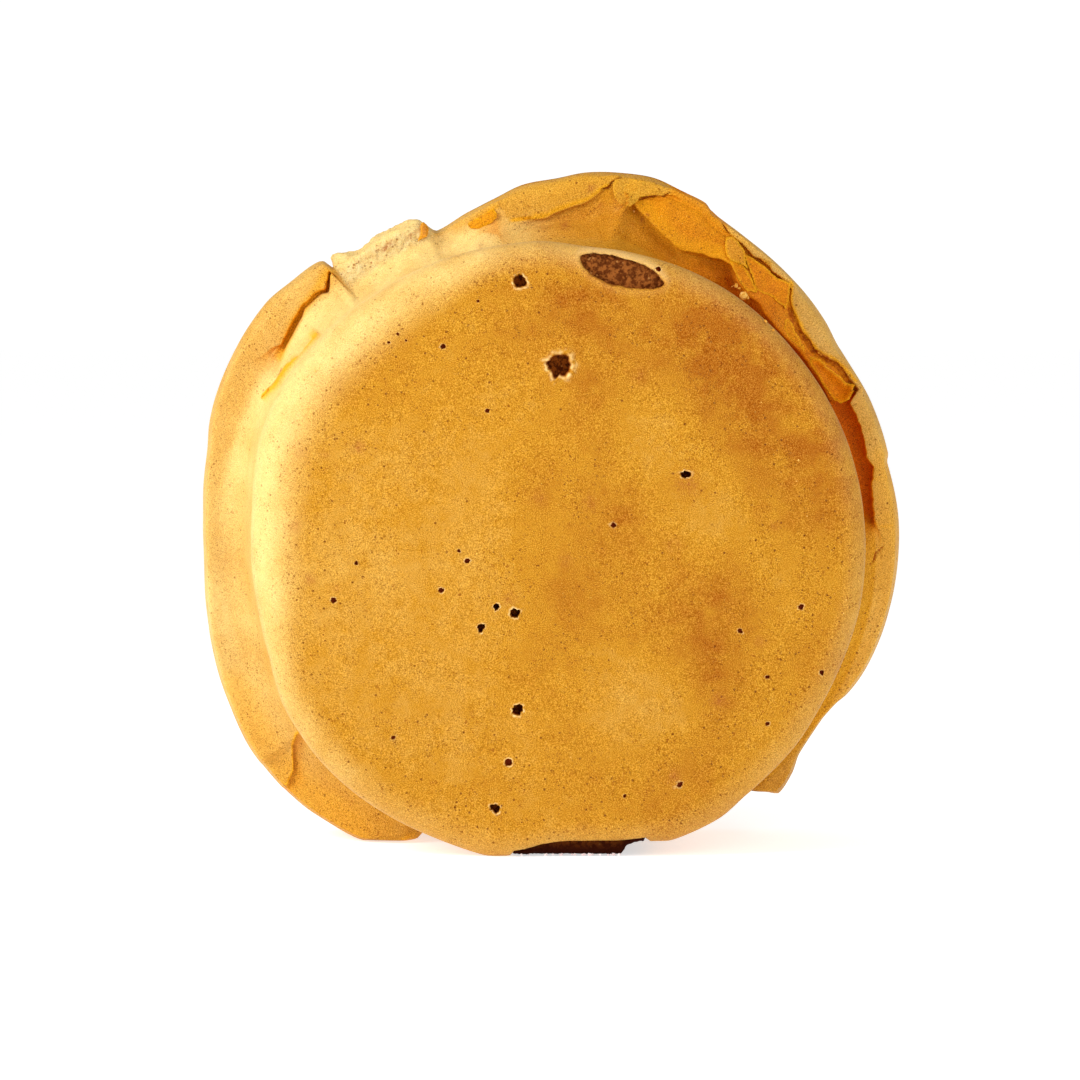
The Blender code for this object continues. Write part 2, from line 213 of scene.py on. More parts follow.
back_radius = once_round([
    (3, 34.65), (11, 34.4), (13, 34.35), (14.5, 34.65), (23, 34.7), (34, 34.45), (39, 34.9),
    (49, 35.5), (59, 36.0), (64.5, 36.55), (66, 37.05), (70, 37.25), (75, 37.65),
    (80, 37.4), (85, 37.0), (90, 36.25), (95, 35.8), (100, 34.8), (105, 34.0), (111, 33.2),
    (112.4, 34.1), (113.4, 34.9), (115, 35.3), (120.5, 35.4), (123.6, 35.1), (126, 35.6),
    (128, 36.15), (128.6, 35.9), (129.1, 35.25), (129.5, 35.4), (129.9, 36.4), (131, 36.7), (136, 37.1),
    (141, 37.55), (147, 37.45), (156, 37.1), (161, 36.75), (166, 36.1), (171, 35.85),
    (177, 35.5), (182, 35.4), (192, 35.9), (197, 36.3), (206, 36.85), (216, 37.4),
    (221, 37.35), (226, 37.1), (231, 36.6), (236, 36.1), (240, 35.3), (243.4, 34.2),
    (245.2, 33.2), (246.4, 31.4), (256, 30.9), (284, 30.9), (300, 31.2), (306.6, 31.4),
    (307.8, 32.3), (310, 33.6), (311.3, 34.35), (315, 33.85), (319, 32.9), (325.5, 32.6),
    (329.5, 32.95), (331.6, 33.4), (336.6, 34.0), (343.5, 34.4), (352, 34.6)])

print("front disc, mm across:", round(float(front_radius(0.0) + front_radius(180.0)), 1))

# %% Where the skin has gone
# Inner, torn edge of the smooth band on the back disc.
ledge_radius = once_round([
    (2.6, 32.0), (7, 32.05), (10.7, 32.3), (12.7, 32.65), (15.7, 32.35), (22.8, 32.65),
    (24.8, 32.5), (26.9, 33.9), (29, 33.6), (32, 33.35), (34, 32.7), (36, 32.3), (40, 32.4),
    (42, 32.7), (45, 33.3), (46.2, 33.9), (47.7, 34.9), (51.2, 34.5), (52.3, 35.2),
    (55.3, 34.7), (58.4, 35.1), (61.4, 35.5), (64.7, 36.1), (70, 36.5), (71.8, 36.4),
    (72.6, 36.0), (74, 35.8), (78.8, 35.5), (80.4, 36.1),
    (81.8, 35.7), (82.8, 35.0), (84.8, 33.9), (86.9, 33.4), (89.9, 32.7), (92, 32.15),
    (98, 32.1), (99.4, 33.7), (103.4, 33.05), (105.3, 32.7), (111, 32.6), (114.5, 32.95),
    (124.7, 32.9), (128.7, 32.65), (129.8, 35.2), (131.2, 34.7), (132.4, 34.2), (133.6, 34.45),
    (136.8, 34.55), (140, 34.3), (142, 34.0), (146, 33.5), (150, 32.6), (180, 32.6), (300, 32.2),
    (350, 32.3)])

# Inner edge of the recess, where it starts well away from the waist.
recess_start = once_round([
    (0, 0.0), (70, 0.0), (76, 31.3), (98, 31.3), (100, 32.2), (106, 32.2), (112, 32.2),
    (128, 34.9), (129.8, 34.9), (131, 34.2), (132.4, 33.5), (133.6, 33.9), (136.8, 34.05),
    (138.4, 33.6), (141.5, 33.2), (144, 33.0), (148, 32.4), (151, 0.0), (359, 0.0)])

# Where the recess is open: 1 is a full step down to its floor, 0 a smooth fillet.
step_depth = once_round([
    (0, 0.15), (3, 0.5), (7, 1.0), (86, 1.0), (92, 0.75), (96, 0.4), (98.8, 0.12), (99.8, 0.1),
    (100.3, 0.32), (103.5, 0.3), (105.6, 0.1), (107, 0.0), (129.2, 0.0), (130.1, 0.8), (132, 0.9),
    (133.6, 0.6), (136.8, 0.6), (138.4, 0.9), (142, 0.9), (146, 0.4), (151, 0.0), (350, 0.0)])

# How far its floor lies behind the band there.
groove_depth = once_round([
    (0, 2.2), (8, 2.6), (58, 2.8), (74, 0.4), (80, 0.15), (86, 0.3), (98, 0.45), (104, 0.6),
    (126, 0.8), (129, 1.2), (140, 1.1), (150, 0.8), (350, 2.2)])

# How far the waist is undercut below the front edge.
undercut = once_round([
    (0, 0.7), (8, 1.1), (60, 1.2), (98, 0.9), (112, 0.4), (135, -0.3), (160, -0.7),
    (205, -0.6), (225, -0.2), (244, 0.3), (260, 0.6), (306, 0.8), (345, 0.5)])

# Front of the band, against its usual depth.
band_shift = once_round([
    (0, 0.0), (58, 0.2), (66, 0.6), (80, 0.9), (100, 0.8), (111, 0.9), (113, 0.0),
    (127.6, 0.1), (128.8, 0.5), (129.8, -0.3), (150, -0.2), (216.8, -0.3), (218.2, 0.3),
    (224, -0.2), (234, -2.0), (243, -3.2), (247, 0.0), (258, 1.5), (305, 1.5), (311, 0.2),
    (330, 0.2)])

print("deepest groove, mm:", round(float(groove_depth(np.arange(360.0)).max()), 1))

# %% The cracked skin and the foot
# The cracked skin that still bridges the recess: its inner edge, its front there, the floor of
# the gap under that edge, and the crack that parts it from the band.
skin_radius = once_round([
    (26, 30.85), (34, 30.9), (38.5, 30.9), (41.6, 30.7), (45.3, 30.85), (47.9, 31.0), (49.9, 31.3),
    (52, 31.2), (55.1, 31.65), (57.5, 32.6), (58.9, 32.65), (61.3, 32.25), (62.8, 32.15), (64.6, 31.9),
    (66.8, 31.65), (69.1, 32.1), (71.4, 32.65), (74, 33.5), (76.5, 34.3), (79, 35.2)])
skin_front = once_round([
    (26, 2.7), (30, 2.3), (36, 2.5), (45, 1.7), (52, 1.1), (57, 0.9), (62, 1.4), (70, 1.7),
    (77, 2.5)])
gap_floor = once_round([(26, 5.2), (50, 4.8), (58, 4.2), (64, 3.9), (78, 4.0)])
skin_crack = once_round([
    (26, 1.0), (29, 0.3), (33, 0.35), (43, 0.3), (47.5, 0.3), (50, 0.55), (56, 0.6), (60, 0.25),
    (63, 0.0), (69, 0.0), (71, 0.2), (74, 0.2), (76, 0.0)])

# How ragged the torn edges are, in millimetres.
raggedness = once_round([
    (0, 0.0), (4, 0.2), (26, 0.26), (60, 0.18), (80, 0.08), (98, 0.06), (128, 0.04),
    (131, 0.16), (146, 0.12), (151, 0.0), (359, 0.0)])

# The bare strip at the foot, between two angles.
STRIP = (262.4, 287.0)
CORE_RADIUS = 28.0
core_rise = once_round([(0, 0.0), (259, 0.0), (262.4, 1.0), (282, 1.0), (283.8, 0.7), (287, 0.58),
                        (288.4, 0.2), (290, 0.0)])
CORE_FRONT, CORE_BACK = -11.1, 11.2
print("the foot strip, degrees:", STRIP)


# %% [markdown]
# ## The glaze
#
# On the real biscuit the glaze is one skin: a smooth front, a rounded edge, a waist and a wider
# back disc whose front has cracked and flaked. It could be sculpted by hand. Here it is drawn as
# a section that changes with the angle, because its edges then follow the rows of the mesh and
# stay crisp. Each section is a list of rows, and each row is one ring round the disc.

# %% Rows along a path
def along(controls, count, curved=False):
    """Rows along a path of (radius, y) controls: so many of them, or at the given steps."""
    controls = np.array([np.stack(c, -1) for c in controls])
    last = len(controls) - 1
    rows = []
    for u in np.linspace(0.0, last, count) if isinstance(count, int) else count:
        i = min(int(u), last - 1)
        t = u - i
        a, b = controls[i], controls[i + 1]
        if not curved:
            rows.append(blend(a, b, t))
            continue
        before, after = controls[max(i - 1, 0)], controls[min(i + 2, last)]
        rows.append(0.5 * (2 * a + (b - before) * t + (2 * before - 5 * a + 4 * b - after) * t * t
                           + (3 * a - before - 3 * b + after) * t ** 3))
    return np.array(rows)


def grounded(deg, r):
    """A radius held back to the ground under the disc."""
    fall = -np.sin(np.radians(deg))
    return np.where(fall > 0.2, np.minimum(r, AXIS_Z / np.maximum(fall, 0.2)), r)


def even(value, deg):
    return value + 0.0 * deg


# %% The front edge and the smooth hollow behind it
EDGE_ROWS, WALL_ROWS, HOLLOW_ROWS = 11, 7, 37
BACK_STEPS = (0, 0.35, 0.7, 1, 1.2, 1.4, 1.6, 1.8, 2, 2.25, 2.5, 2.75, 3, 3.5, 4, 5, 6, 6.5, 7, 8)


def waist_radius(deg):
    return np.maximum(front_radius(deg) - undercut(deg), WAIST_LEAST)


def front_edge(deg):
    """The rounded front edge and the wall behind it."""
    rim, edge, waist = front_radius(deg), edge_rounding(deg), waist_radius(deg)
    middle = FRONT_Y + FRONT_DROP + edge
    turn = np.radians(np.linspace(0.0, 90.0, EDGE_ROWS))[:, None]
    rounded = np.stack([rim - edge + edge * np.sin(turn), middle - edge * np.cos(turn)], -1)
    wall = along([(rim, middle), (rim - 0.1, even(-6.0, deg)),
                  (blend(rim, waist, 0.8), even(-2.6, deg))], WALL_ROWS, curved=True)
    return np.concatenate([rounded, wall[1:]])


def fillet_end(deg, skirt):
    """Where the hollow ends: inside the skirt, but it doesn't follow its narrow notches."""
    return np.minimum(0.5 * (back_radius(deg - 2.0) + back_radius(deg + 2.0)) - 1.2, skirt - 0.6)


def fillet_depth(band, t):
    """The hollow's y, from the waist, where t is 0, to the front of the band, where it is 1."""
    return blend(WAIST_Y, band, 1.0 - (1.0 - t) ** 3)


def fillet(deg, waist, skirt, band):
    """A smooth hollow that runs from the waist out on to the band."""
    t = np.linspace(0.12, 0.92, HOLLOW_ROWS)[:, None]
    return np.stack([blend(waist, fillet_end(deg, skirt), blend(t, t * t * (3 - 2 * t), 0.5)),
                     fillet_depth(band, t)], -1)


# %% The recess, open and bridged by cracked skin
def open_recess(deg, waist, skirt, ledge, band, step):
    """Where the skin is gone: down to a floor, then up under the torn edge of the band."""
    start = np.minimum(np.maximum(recess_start(deg), waist + 0.15), ledge - 0.35)
    floor = band + groove_depth(deg) * step
    tuck = 0.35 * step
    part = np.clip((start - waist) / (fillet_end(deg, skirt) - waist), 0.0, 1.0)
    return along([(blend(waist, start, 0.5), fillet_depth(band, 0.5 * part)),
                  (start, fillet_depth(band, part)),
                  (blend(start, ledge, 0.4), floor),
                  (ledge - 0.15, floor + 0.1),
                  (ledge + tuck, blend(band, floor, 0.6)),
                  (ledge + 0.6 * tuck, band + 0.6 * step + 0.1),
                  (ledge, band + 0.2),
                  (ledge + 0.1, band + 0.04),
                  (ledge + 0.4, band)], HOLLOW_ROWS)


def sheet_front(deg, t):
    """The front of the bridging skin: t is 0 at its inner edge and 1 where it meets the band."""
    return blend(skin_front(deg), BAND_FRONT + band_shift(deg), 0.85 * t)


def bridged_recess(deg, waist, ledge, band):
    """Where cracked skin still leans over the recess, with a dark gap under its edge."""
    inner, front, under = skin_radius(deg), skin_front(deg), gap_floor(deg)
    inner = inner + 0.5 * raggedness(deg) * jag(deg, 4)
    shoulder = blend(under - 0.9, 2.1, ease(deg, 62.0, 78.0))
    return along([(blend(waist, inner, 0.35), shoulder),
                  (inner - 0.15, under),
                  (inner + 0.35, blend(front, under, 0.5)),
                  (inner + 0.1, front + 0.4),
                  (inner, front + 0.15),
                  (inner + 0.15, front + 0.02),
                  (blend(inner, ledge, 0.5), sheet_front(deg, 0.5)),
                  (ledge - 0.42, sheet_front(deg, 1.0)),
                  (ledge - 0.22, band + skin_crack(deg)),
                  (ledge, band + 0.9 * skin_crack(deg)),
                  (ledge + 0.06, band + 0.02),
                  (ledge + 0.3, band)], HOLLOW_ROWS)


# %% Where it is freshly broken
# How freshly broken the bridging skin looks, and the gap under it. Then the same for the floor
# of the open recess, and how far across it the fresh part starts.
skin_freshness = once_round([
    (26, 0.8), (36, 0.8), (44, 0.7), (50, 0.85), (56, 0.6), (60, 0.7), (64, 0.8), (76, 0.8),
    (80, 0.4)])
gap_freshness = once_round([(26, 0.9), (50, 0.85), (60, 0.7), (68, 0.4), (74, 0.3), (80, 0.3)])
neck_freshness = once_round([
    (0, 1.0), (27, 1.0), (50, 0.7), (75, 0.3), (90, 0.2), (98, 0.0), (99.8, 0.9), (103, 0.7),
    (105, 0.0), (127, 0.0), (129, 1.0), (146, 0.8), (152, 0.0), (350, 0.4)])
fresh_from = once_round([(0, 0.05), (98, 0.05), (105, 0.4), (126, 0.3), (146, 0.25), (152, 0.05)])


# %% All rows of the glaze
def glaze_rows(deg):
    """All rows outside the flat front, and how much of each is freshly broken caramel."""
    waist, step = waist_radius(deg), step_depth(deg)
    skirt = grounded(deg, back_radius(deg))
    band = BAND_FRONT + band_shift(deg)
    ledge = np.minimum(ledge_radius(deg) + raggedness(deg) * jag(deg, 1), skirt - 0.9)
    plate = ease(deg, 26.0, 27.0) * (1.0 - ease(deg, 76.0, 81.0))
    broken = np.minimum(1.6 * step, 1.0)

    torn = open_recess(deg, waist, skirt, ledge, band, step)
    bridged = bridged_recess(deg, waist, ledge, band)
    hollow = blend(torn, bridged, plate[None, :, None])
    hollow = blend(fillet(deg, waist, skirt, band), hollow, broken[None, :, None])

    start = np.maximum(ledge, hollow[-1, :, 0])
    back = along([(blend(start, skirt, 0.15), band + 0.02), (blend(start, skirt, 0.62), band + 0.15),
                  (skirt - 0.32, band + 0.95), (skirt, band + 2.3), (skirt, even(5.6, deg)),
                  (skirt, even(8.6, deg)), (skirt - 0.6, even(11.2, deg)),
                  (skirt - 2.2, even(12.35, deg)), (even(27.0, deg), even(BACK_Y, deg))],
                 BACK_STEPS, curved=True)

    t = np.linspace(0.0, 1.0, HOLLOW_ROWS)[:, None]
    floor_fresh = (1.0 - ease(t, 0.86, 0.9)) * ease(t, fresh_from(deg) - 0.1, fresh_from(deg))
    skin_fresh = blend(gap_freshness(deg), skin_freshness(deg), ease(t, 0.4, 0.5))
    skin_fresh = skin_fresh * (1.0 - ease(t, 0.9, 0.97))
    fresh = blend(floor_fresh * neck_freshness(deg), skin_fresh, plate) * np.minimum(1.3 * step, 1.0)
    fresh = fresh * ease(hollow[..., 1], WAIST_Y, 1.0)
    rows = np.concatenate([front_edge(deg), hollow, back])
    fresh = np.concatenate([np.zeros((EDGE_ROWS + WALL_ROWS - 1, len(deg))), fresh,
                            np.zeros((len(BACK_STEPS), len(deg)))])

    # Along the bare strip the glaze turns in behind its front edge, and the biscuit shows.
    inside = between(deg, STRIP[0] + 0.6, STRIP[1] - 0.4, 0.8)
    hidden = ease(rows[..., 1], -11.45, -11.25) * (1.0 - ease(rows[..., 1], 11.3, 11.5))
    rows[..., 0] = blend(rows[..., 0], np.minimum(rows[..., 0], CORE_RADIUS - 0.8), inside * hidden)
    rows[..., 0] = grounded(deg, rows[..., 0])
    return rows, fresh


# %% Join the rows into one closed mesh
def spread(*runs):
    """Angles from (start, stop, step) runs."""
    out = []
    for start, stop, step in runs:
        count = round((stop - start) / step)
        out += [start + (stop - start) * i / count for i in range(count)]
    return np.array(out)


def zip_rings(first, first_deg, second, second_deg):
    """Faces between two rings of vertex numbers whose angles may differ."""
    n, m = len(first), len(second)
    if n == m:
        return [(first[i], second[i], second[(i + 1) % m], first[(i + 1) % n]) for i in range(n)]
    faces, i, j = [], 0, 0
    while i < n or j < m:
        next_first = first_deg[i + 1] if i + 1 < n else 360.0 + (i >= n)
        next_second = second_deg[j + 1] if j + 1 < m else 360.0 + (j >= m)
        if next_second <= next_first and j < m:
            faces.append((first[i % n], second[j], second[(j + 1) % m]))
            j += 1
        else:
            faces.append((first[i], second[j % m], first[(i + 1) % n]))
            i += 1
    return faces


def join_rings(rings, front_y, back_y):
    """A closed solid's vertices and faces: rings of (degrees, radius, y), a middle at each end."""
    verts, faces, numbers = [(AXIS_X, front_y, AXIS_Z)], [], []
    for deg, r, y in rings:
        numbers.append(list(range(len(verts), len(verts) + len(deg))))
        verts += [tuple(p) for p in points_at(deg, r, y)]
    verts.append((AXIS_X, back_y, AXIS_Z))
    for k in range(len(rings) - 1):
        faces += zip_rings(numbers[k], rings[k][0], numbers[k + 1], rings[k + 1][0])
    for middle, ring in ((0, numbers[0]), (len(verts) - 1, numbers[-1])):
        faces += [(middle, ring[i], ring[(i + 1) % len(ring)]) for i in range(len(ring))]
    return verts, faces


# %% The glaze before its small relief
FINE = spread((0, 27, 0.5), (27, 62, 0.34), (62, 82, 0.42), (82, 112, 0.5), (112, 152, 0.38),
              (152, 214, 1.1), (214, 224, 0.42), (224, 240, 0.9), (240, 248, 0.4),
              (248, 304, 0.8), (304, 334, 0.6), (334, 360, 0.85))
FACE_STEP, FACE_REACH = 0.5, 28.0


def glaze_rings():
    """(degrees, rows, freshness) of every ring of the glaze, from the face to the back."""
    flat = front_radius(FINE) - edge_rounding(FINE)
    rings = [(FINE, *layer) for layer in zip(*glaze_rows(FINE))]
    face = []
    count = round(FACE_REACH / FACE_STEP)
    for k in range(1, count):
        part = k / count
        r = part * FACE_REACH
        deg = FINE if r > 26.0 else spread((0, 360, 1.0 if r > 12 else 2.0 if r > 6 else 5.0))
        reach = once_round([(a, b) for a, b in zip(FINE[::3], flat[::3])])(deg) * part
        row = np.stack([reach, FRONT_Y + FRONT_DROP * part ** 2 + 0.0 * deg], -1)
        face.append((deg, row, np.zeros(len(deg))))
    back = []
    for r, step in ((24.0, 1.0), (16.0, 2.0), (8.0, 5.0), (3.0, 15.0)):
        deg = spread((0, 360, step))
        back.append((deg, np.stack([even(r, deg), even(BACK_Y, deg)], -1), np.zeros(len(deg))))
    return face + rings + back


rings = glaze_rings()
plain_verts, plain_faces = join_rings([(d, row[:, 0], row[:, 1]) for d, row, _ in rings],
                                      FRONT_Y, BACK_Y)
plain_fresh = [0.0, *np.concatenate([torn for _, _, torn in rings]), 0.0]
print("glaze before relief:", len(plain_verts), "vertices,", len(plain_faces), "faces")

# %% [markdown]
# ## Burst bubbles, pinholes and the bare oval
#
# Air in the glaze has burst into small holes with a pale, thin lip, and a long oval near the top
# was never coated. They could be cut with Booleans. Pushing the fine mesh in is lighter and gives
# soft lips, so the mesh is first made finer round each hole. The deep ones go in past the
# biscuit's surface, so the crumb that shows in them is the real biscuit piece.

# %% Where the holes are
# x, z and radius of each hole on the front face.
HOLES = [
    (0.6, 48.1, 1.17), (-3.1, 56.4, 0.63), (13.1, 37.5, 0.44), (-3.5, 24.0, 0.49),
    (-5.4, 24.6, 0.36), (-6.9, 22.6, 0.40), (-3.3, 14.6, 0.49), (-5.5, 4.9, 0.49),
    (-4.2, 9.4, 0.34), (-10.7, 26.3, 0.26), (-8.2, 29.1, 0.28), (-9.0, 30.1, 0.20),
    (-21.2, 25.3, 0.27), (-19.0, 28.9, 0.22), (-10.5, 50.0, 0.28), (-6.2, 43.8, 0.2),
    (24.4, 24.6, 0.28), (6.1, 32.6, 0.26), (18.4, 22.3, 0.23), (21.1, 17.8, 0.22),
    (12.6, 7.2, 0.26), (21.1, 13.2, 0.2), (26.4, 18.2, 0.28), (-15.4, 11.8, 0.22),
    (18.3, 55.1, 0.26), (7.2, 6.1, 0.2), (10.4, 57.5, 0.26), (-15.8, 50.4, 0.15),
    (-14.9, 51.2, 0.14), (-14.1, 50.6, 0.12), (-7.1, 54.4, 0.14)]

# The bare oval: x, z of its outline.
BARE_OVAL = [(2.75, 58.6), (3.7, 59.05), (5.9, 58.85), (8.6, 58.1), (10.1, 57.25),
             (10.95, 56.2), (10.6, 55.75), (9.5, 55.6), (7.2, 55.7), (4.9, 56.4), (3.35, 57.5)]


def rounded_loop(corners, per_side=6):
    """A closed curve through the corners."""
    c = [np.array(p, float) for p in corners]
    loop = []
    for i in range(len(c)):
        loop += list(along([c[i - 1], c[i], c[(i + 1) % len(c)], c[(i + 2) % len(c)]],
                           3 * per_side + 1, curved=True)[per_side:2 * per_side])
    return np.array(loop)


def inside_distance(loop, x, z):
    """Distance to a closed outline, positive inside it."""
    nearest = np.full(len(x), 1e9)
    crossings = np.zeros(len(x), int)
    for (ax, az), (bx, bz) in zip(loop, np.roll(loop, -1, axis=0)):
        dx, dz = bx - ax, bz - az
        t = np.clip(((x - ax) * dx + (z - az) * dz) / (dx * dx + dz * dz + 1e-12), 0.0, 1.0)
        nearest = np.minimum(nearest, np.hypot(x - ax - t * dx, z - az - t * dz))
        if az != bz:
            spans = (az > z) != (bz > z)
            crossings += spans & (x < ax + dx * (z - az) / dz)
    return np.where(crossings % 2 == 1, nearest, -nearest)


FACE_ENDS = -9.0
oval = rounded_loop(BARE_OVAL)
print("holes:", len(HOLES), " oval outline points:", len(oval))


# %% Make the mesh finer round them
def refine(bm, is_near, times):
    """Cut the faces whose middles are near a feature into four, several times over."""
    for _ in range(times):
        middles = np.array([f.calc_center_median() for f in bm.faces])
        chosen = is_near(middles)
        edges = {e for f, near in zip(bm.faces, chosen) if near for e in f.edges}
        bmesh.ops.subdivide_edges(bm, edges=list(edges), cuts=1, use_grid_fill=True)


def near_holes(low, high, reach):
    """A test for faces on the front that lie near a hole of a size."""
    def test(p):
        near = np.zeros(len(p), bool)
        for x, z, radius in HOLES:
            if low <= radius < high:
                near |= np.hypot(p[:, 0] - x, p[:, 2] - z) < reach * radius + 0.15
        return near & (p[:, 1] < FACE_ENDS)
    return test


def near_oval(p):
    return (np.abs(inside_distance(oval, p[:, 0], p[:, 2])) < 0.4) & (p[:, 1] < FACE_ENDS)


def line_distance(points, p):
    """How far each p is, seen from the front, from a line of (degrees, radius) points."""
    ends = points_at(*[np.array(column, float) for column in zip(*points)], 0.0)[:, (0, 2)]
    nearest = np.full(len(p), 1e9)
    for a, b in zip(ends, ends[1:]):
        run = b - a
        t = np.clip(((p[:, (0, 2)] - a) @ run) / (run @ run), 0.0, 1.0)
        nearest = np.minimum(nearest, np.linalg.norm(p[:, (0, 2)] - a - t[:, None] * run, axis=1))
    return nearest


# Thin cracks on the back disc, as (degrees, radius) lines: on the band on the right, two beside
# the lobe at the top, one at its far end and one on the upper left. Then the torn seams.
CRACKS = [
    [(359, 32.9), (358.2, 32.5), (357.8, 32.2), (356.6, 32.1), (355.6, 31.7)],
    [(79.2, 37.4), (80.2, 36.7), (80.9, 36.4), (81.4, 35.7), (82.4, 35.5)],
    [(76.2, 35.2), (74.4, 35.8), (73.6, 35.9), (72.5, 36.1), (71.8, 36.7)],
    [(64.6, 36.3), (62.9, 36.2), (61.4, 35.6), (60.6, 35.3)],
    [(147.5, 32.4), (149.4, 32.2), (151.2, 32.3), (152.4, 32.2), (154, 32.6)]]
SEAMS = {
    "yellow_seam": [(138.7, 31.4), (139.8, 31.05), (143.7, 31.1), (146.3, 31.7), (150.5, 31.8),
                    (153.4, 32.4)],
    "granular_strip": [(44.6, 32.9), (42.9, 32.5), (40.8, 32.05), (39.1, 32.2), (36.5, 32.1),
                       (33.4, 32.9), (31.6, 33.3), (28.3, 33.5), (26.7, 33.7)],
    "lower_left": [(216.7, 32.3), (218, 33.5), (220.2, 34.5), (221.4, 35.1), (222.3, 36.4)],
}


def near_breaks(p):
    nearest = np.min([line_distance(line, p) for line in (*CRACKS, *SEAMS.values())], axis=0)
    return (nearest < 0.32) & (p[:, 1] > -4.0) & (p[:, 1] < 5.5)


glaze_bm = bmesh.new()
fresh_layer = glaze_bm.verts.layers.float.new("fresh")
made = [glaze_bm.verts.new(v) for v in plain_verts]
for vertex, value in zip(made, plain_fresh):
    vertex[fresh_layer] = value
for corners in plain_faces:
    glaze_bm.faces.new([made[i] for i in corners])
refine(glaze_bm, near_holes(0.0, 9.0, 1.6), 2)
refine(glaze_bm, near_holes(0.0, 0.5, 1.4), 1)
refine(glaze_bm, near_oval, 2)
refine(glaze_bm, near_breaks, 1)
bmesh.ops.triangulate(glaze_bm, faces=glaze_bm.faces)
bmesh.ops.recalc_face_normals(glaze_bm, faces=glaze_bm.faces)
glaze_mesh_data = bpy.data.meshes.new("caramel_glaze")
glaze_bm.to_mesh(glaze_mesh_data)
glaze_bm.free()
print("glaze made finer:", len(glaze_mesh_data.polygons), "triangles")


# %% Give the skin its relief
def read(mesh, what="co"):
    values = np.empty(3 * len(mesh.vertices))
    mesh.vertices.foreach_get(what, values)
    return values.reshape(-1, 3)


def mark(mesh, name, values):
    """Store one number for each vertex, for the finishes to read."""
    layer = mesh.attributes.get(name) or mesh.attributes.new(name, "FLOAT", "POINT")
    layer.data.foreach_set("value", np.asarray(values, float))


p = read(glaze_mesh_data)
normal = read(glaze_mesh_data, "normal")
fresh = np.array([d.value for d in glaze_mesh_data.attributes["fresh"].data])
deg = np.degrees(np.arctan2(p[:, 2] - AXIS_Z, p[:, 0] - AXIS_X)) % 360.0
r = np.hypot(p[:, 0] - AXIS_X, p[:, 2] - AXIS_Z)

# Slow waves on the smooth skin, a finer roughness where it has broken, and a porous lump.
LUMP_FROM, LUMP_TO = 112.2, 128.8
standing = ease(p[:, 2], 0.05, 0.8)
swell = 0.10 * grit(p, 11.0, 1) + 0.035 * grit(p, 3.5, 2)
crumble = 0.05 * grit(p, 0.7, 3) + 0.03 * grit(p, 0.33, 4)
lump = between(deg, LUMP_FROM, LUMP_TO, 0.5) * ease(r, 32.3, 33.2) * (1.0 - ease(p[:, 1], 4.0, 8.0))
porous = lump * (0.30 * grit(p, 1.5, 5) + 0.16 * grit(p, 0.6, 6) + 0.1 * grit(p, 0.3, 7))
p += normal * (standing * (swell + 0.8 * fresh * crumble + porous))[:, None]

print("swell, mm:", round(float(np.ptp(swell)), 2))

# %% Push the holes in
BUBBLE, DEEP_HOLE = 1.0, 0.35
OVAL_DEPTH = 2.0
bare = np.zeros(len(p))
lip = np.zeros(len(p))
push = np.zeros(len(p))
front = p[:, 1] < FACE_ENDS
for number, (x, z, radius) in enumerate(HOLES):
    near = front & (np.hypot(p[:, 0] - x, p[:, 2] - z) < 2.4 * radius + 0.1)
    dx, dz = p[near, 0] - x, p[near, 2] - z
    turn = np.arctan2(dz, dx)
    circle = np.stack([np.cos(turn), np.sin(turn), 0 * turn], -1)
    ragged = grit(circle, 1.3, number) + 0.7 * grit(circle, 0.45, number + 40)
    d = np.hypot(dx, dz) / (radius * (1.0 + 0.5 * ragged))
    depth = 1.4 + 0.5 * radius if radius > DEEP_HOLE else 1.9 * radius
    width = 0.22 if radius > BUBBLE else 0.15
    raised = 0.12 * radius * np.exp(-((d - 1.15) / 0.13) ** 2)
    push[near] += depth * (1.0 - ease(d, 0.72, 1.02)) - raised
    bare[near] = np.maximum(bare[near], 1.0 - ease(d, 0.86, 0.98))
    broken = np.maximum(0.45 + 1.1 * grit(p[near], 0.35, number), 0.0)
    ring = np.exp(-((d - 1.14) / width) ** 2) * broken * min(radius / 0.3, 1.0)
    lip[near] = np.maximum(lip[near], 0.85 * ring)

inner = inside_distance(oval, p[:, 0], p[:, 2])
inner += 0.10 * grit(p, 0.5, 9)
inside = ease(inner, -0.05, 0.22) * front
push += OVAL_DEPTH * inside - 0.07 * np.exp(-((inner + 0.3) / 0.2) ** 2) * front
bare = np.maximum(bare, ease(inner, 0.0, 0.1) * front)
above = ease(p[:, 2] + 0.29 * p[:, 0] - 59.4, -0.3, 1.2)
lip = np.maximum(lip, (0.06 + 0.3 * above) * np.exp(-((inner + 0.3) / 0.35) ** 2) * front)
p[:, 1] += push
print("deepest hole, mm:", round(float(push.max()), 2))

# %% [markdown]
# ## Cracks, seams and thin edges
#
# A crack is a narrow, dark cut. A seam is a torn edge of the skin, painted with a yellow glow along
# it as if light shone through its thin edge. Both are lines in the plan, so each vertex is pushed
# in or out by its distance from a line, and the same distance is kept as a mark for the finish.
# Modelling each as its own piece would leave gaps, and a texture alone would give no shadow.

# %% Cut the cracks and raise the seams
crack = np.zeros(len(p))
painted_glow = np.zeros(len(p))
highlight_and_thin = np.zeros(len(p))
on_back = (p[:, 1] > -4.0) & (p[:, 1] < 7.0)
wobble = 0.07 * grit(p, 0.5, 12)


def line_mark(points, width):
    """1 on a line of (degrees, radius) points, 0 farther than `width` from it."""
    near = 1.0 - ease(np.abs(line_distance(points, p) + wobble), 0.25 * width, width)
    return near * on_back * (1.0 - ease(p[:, 1], 3.9, 4.6))


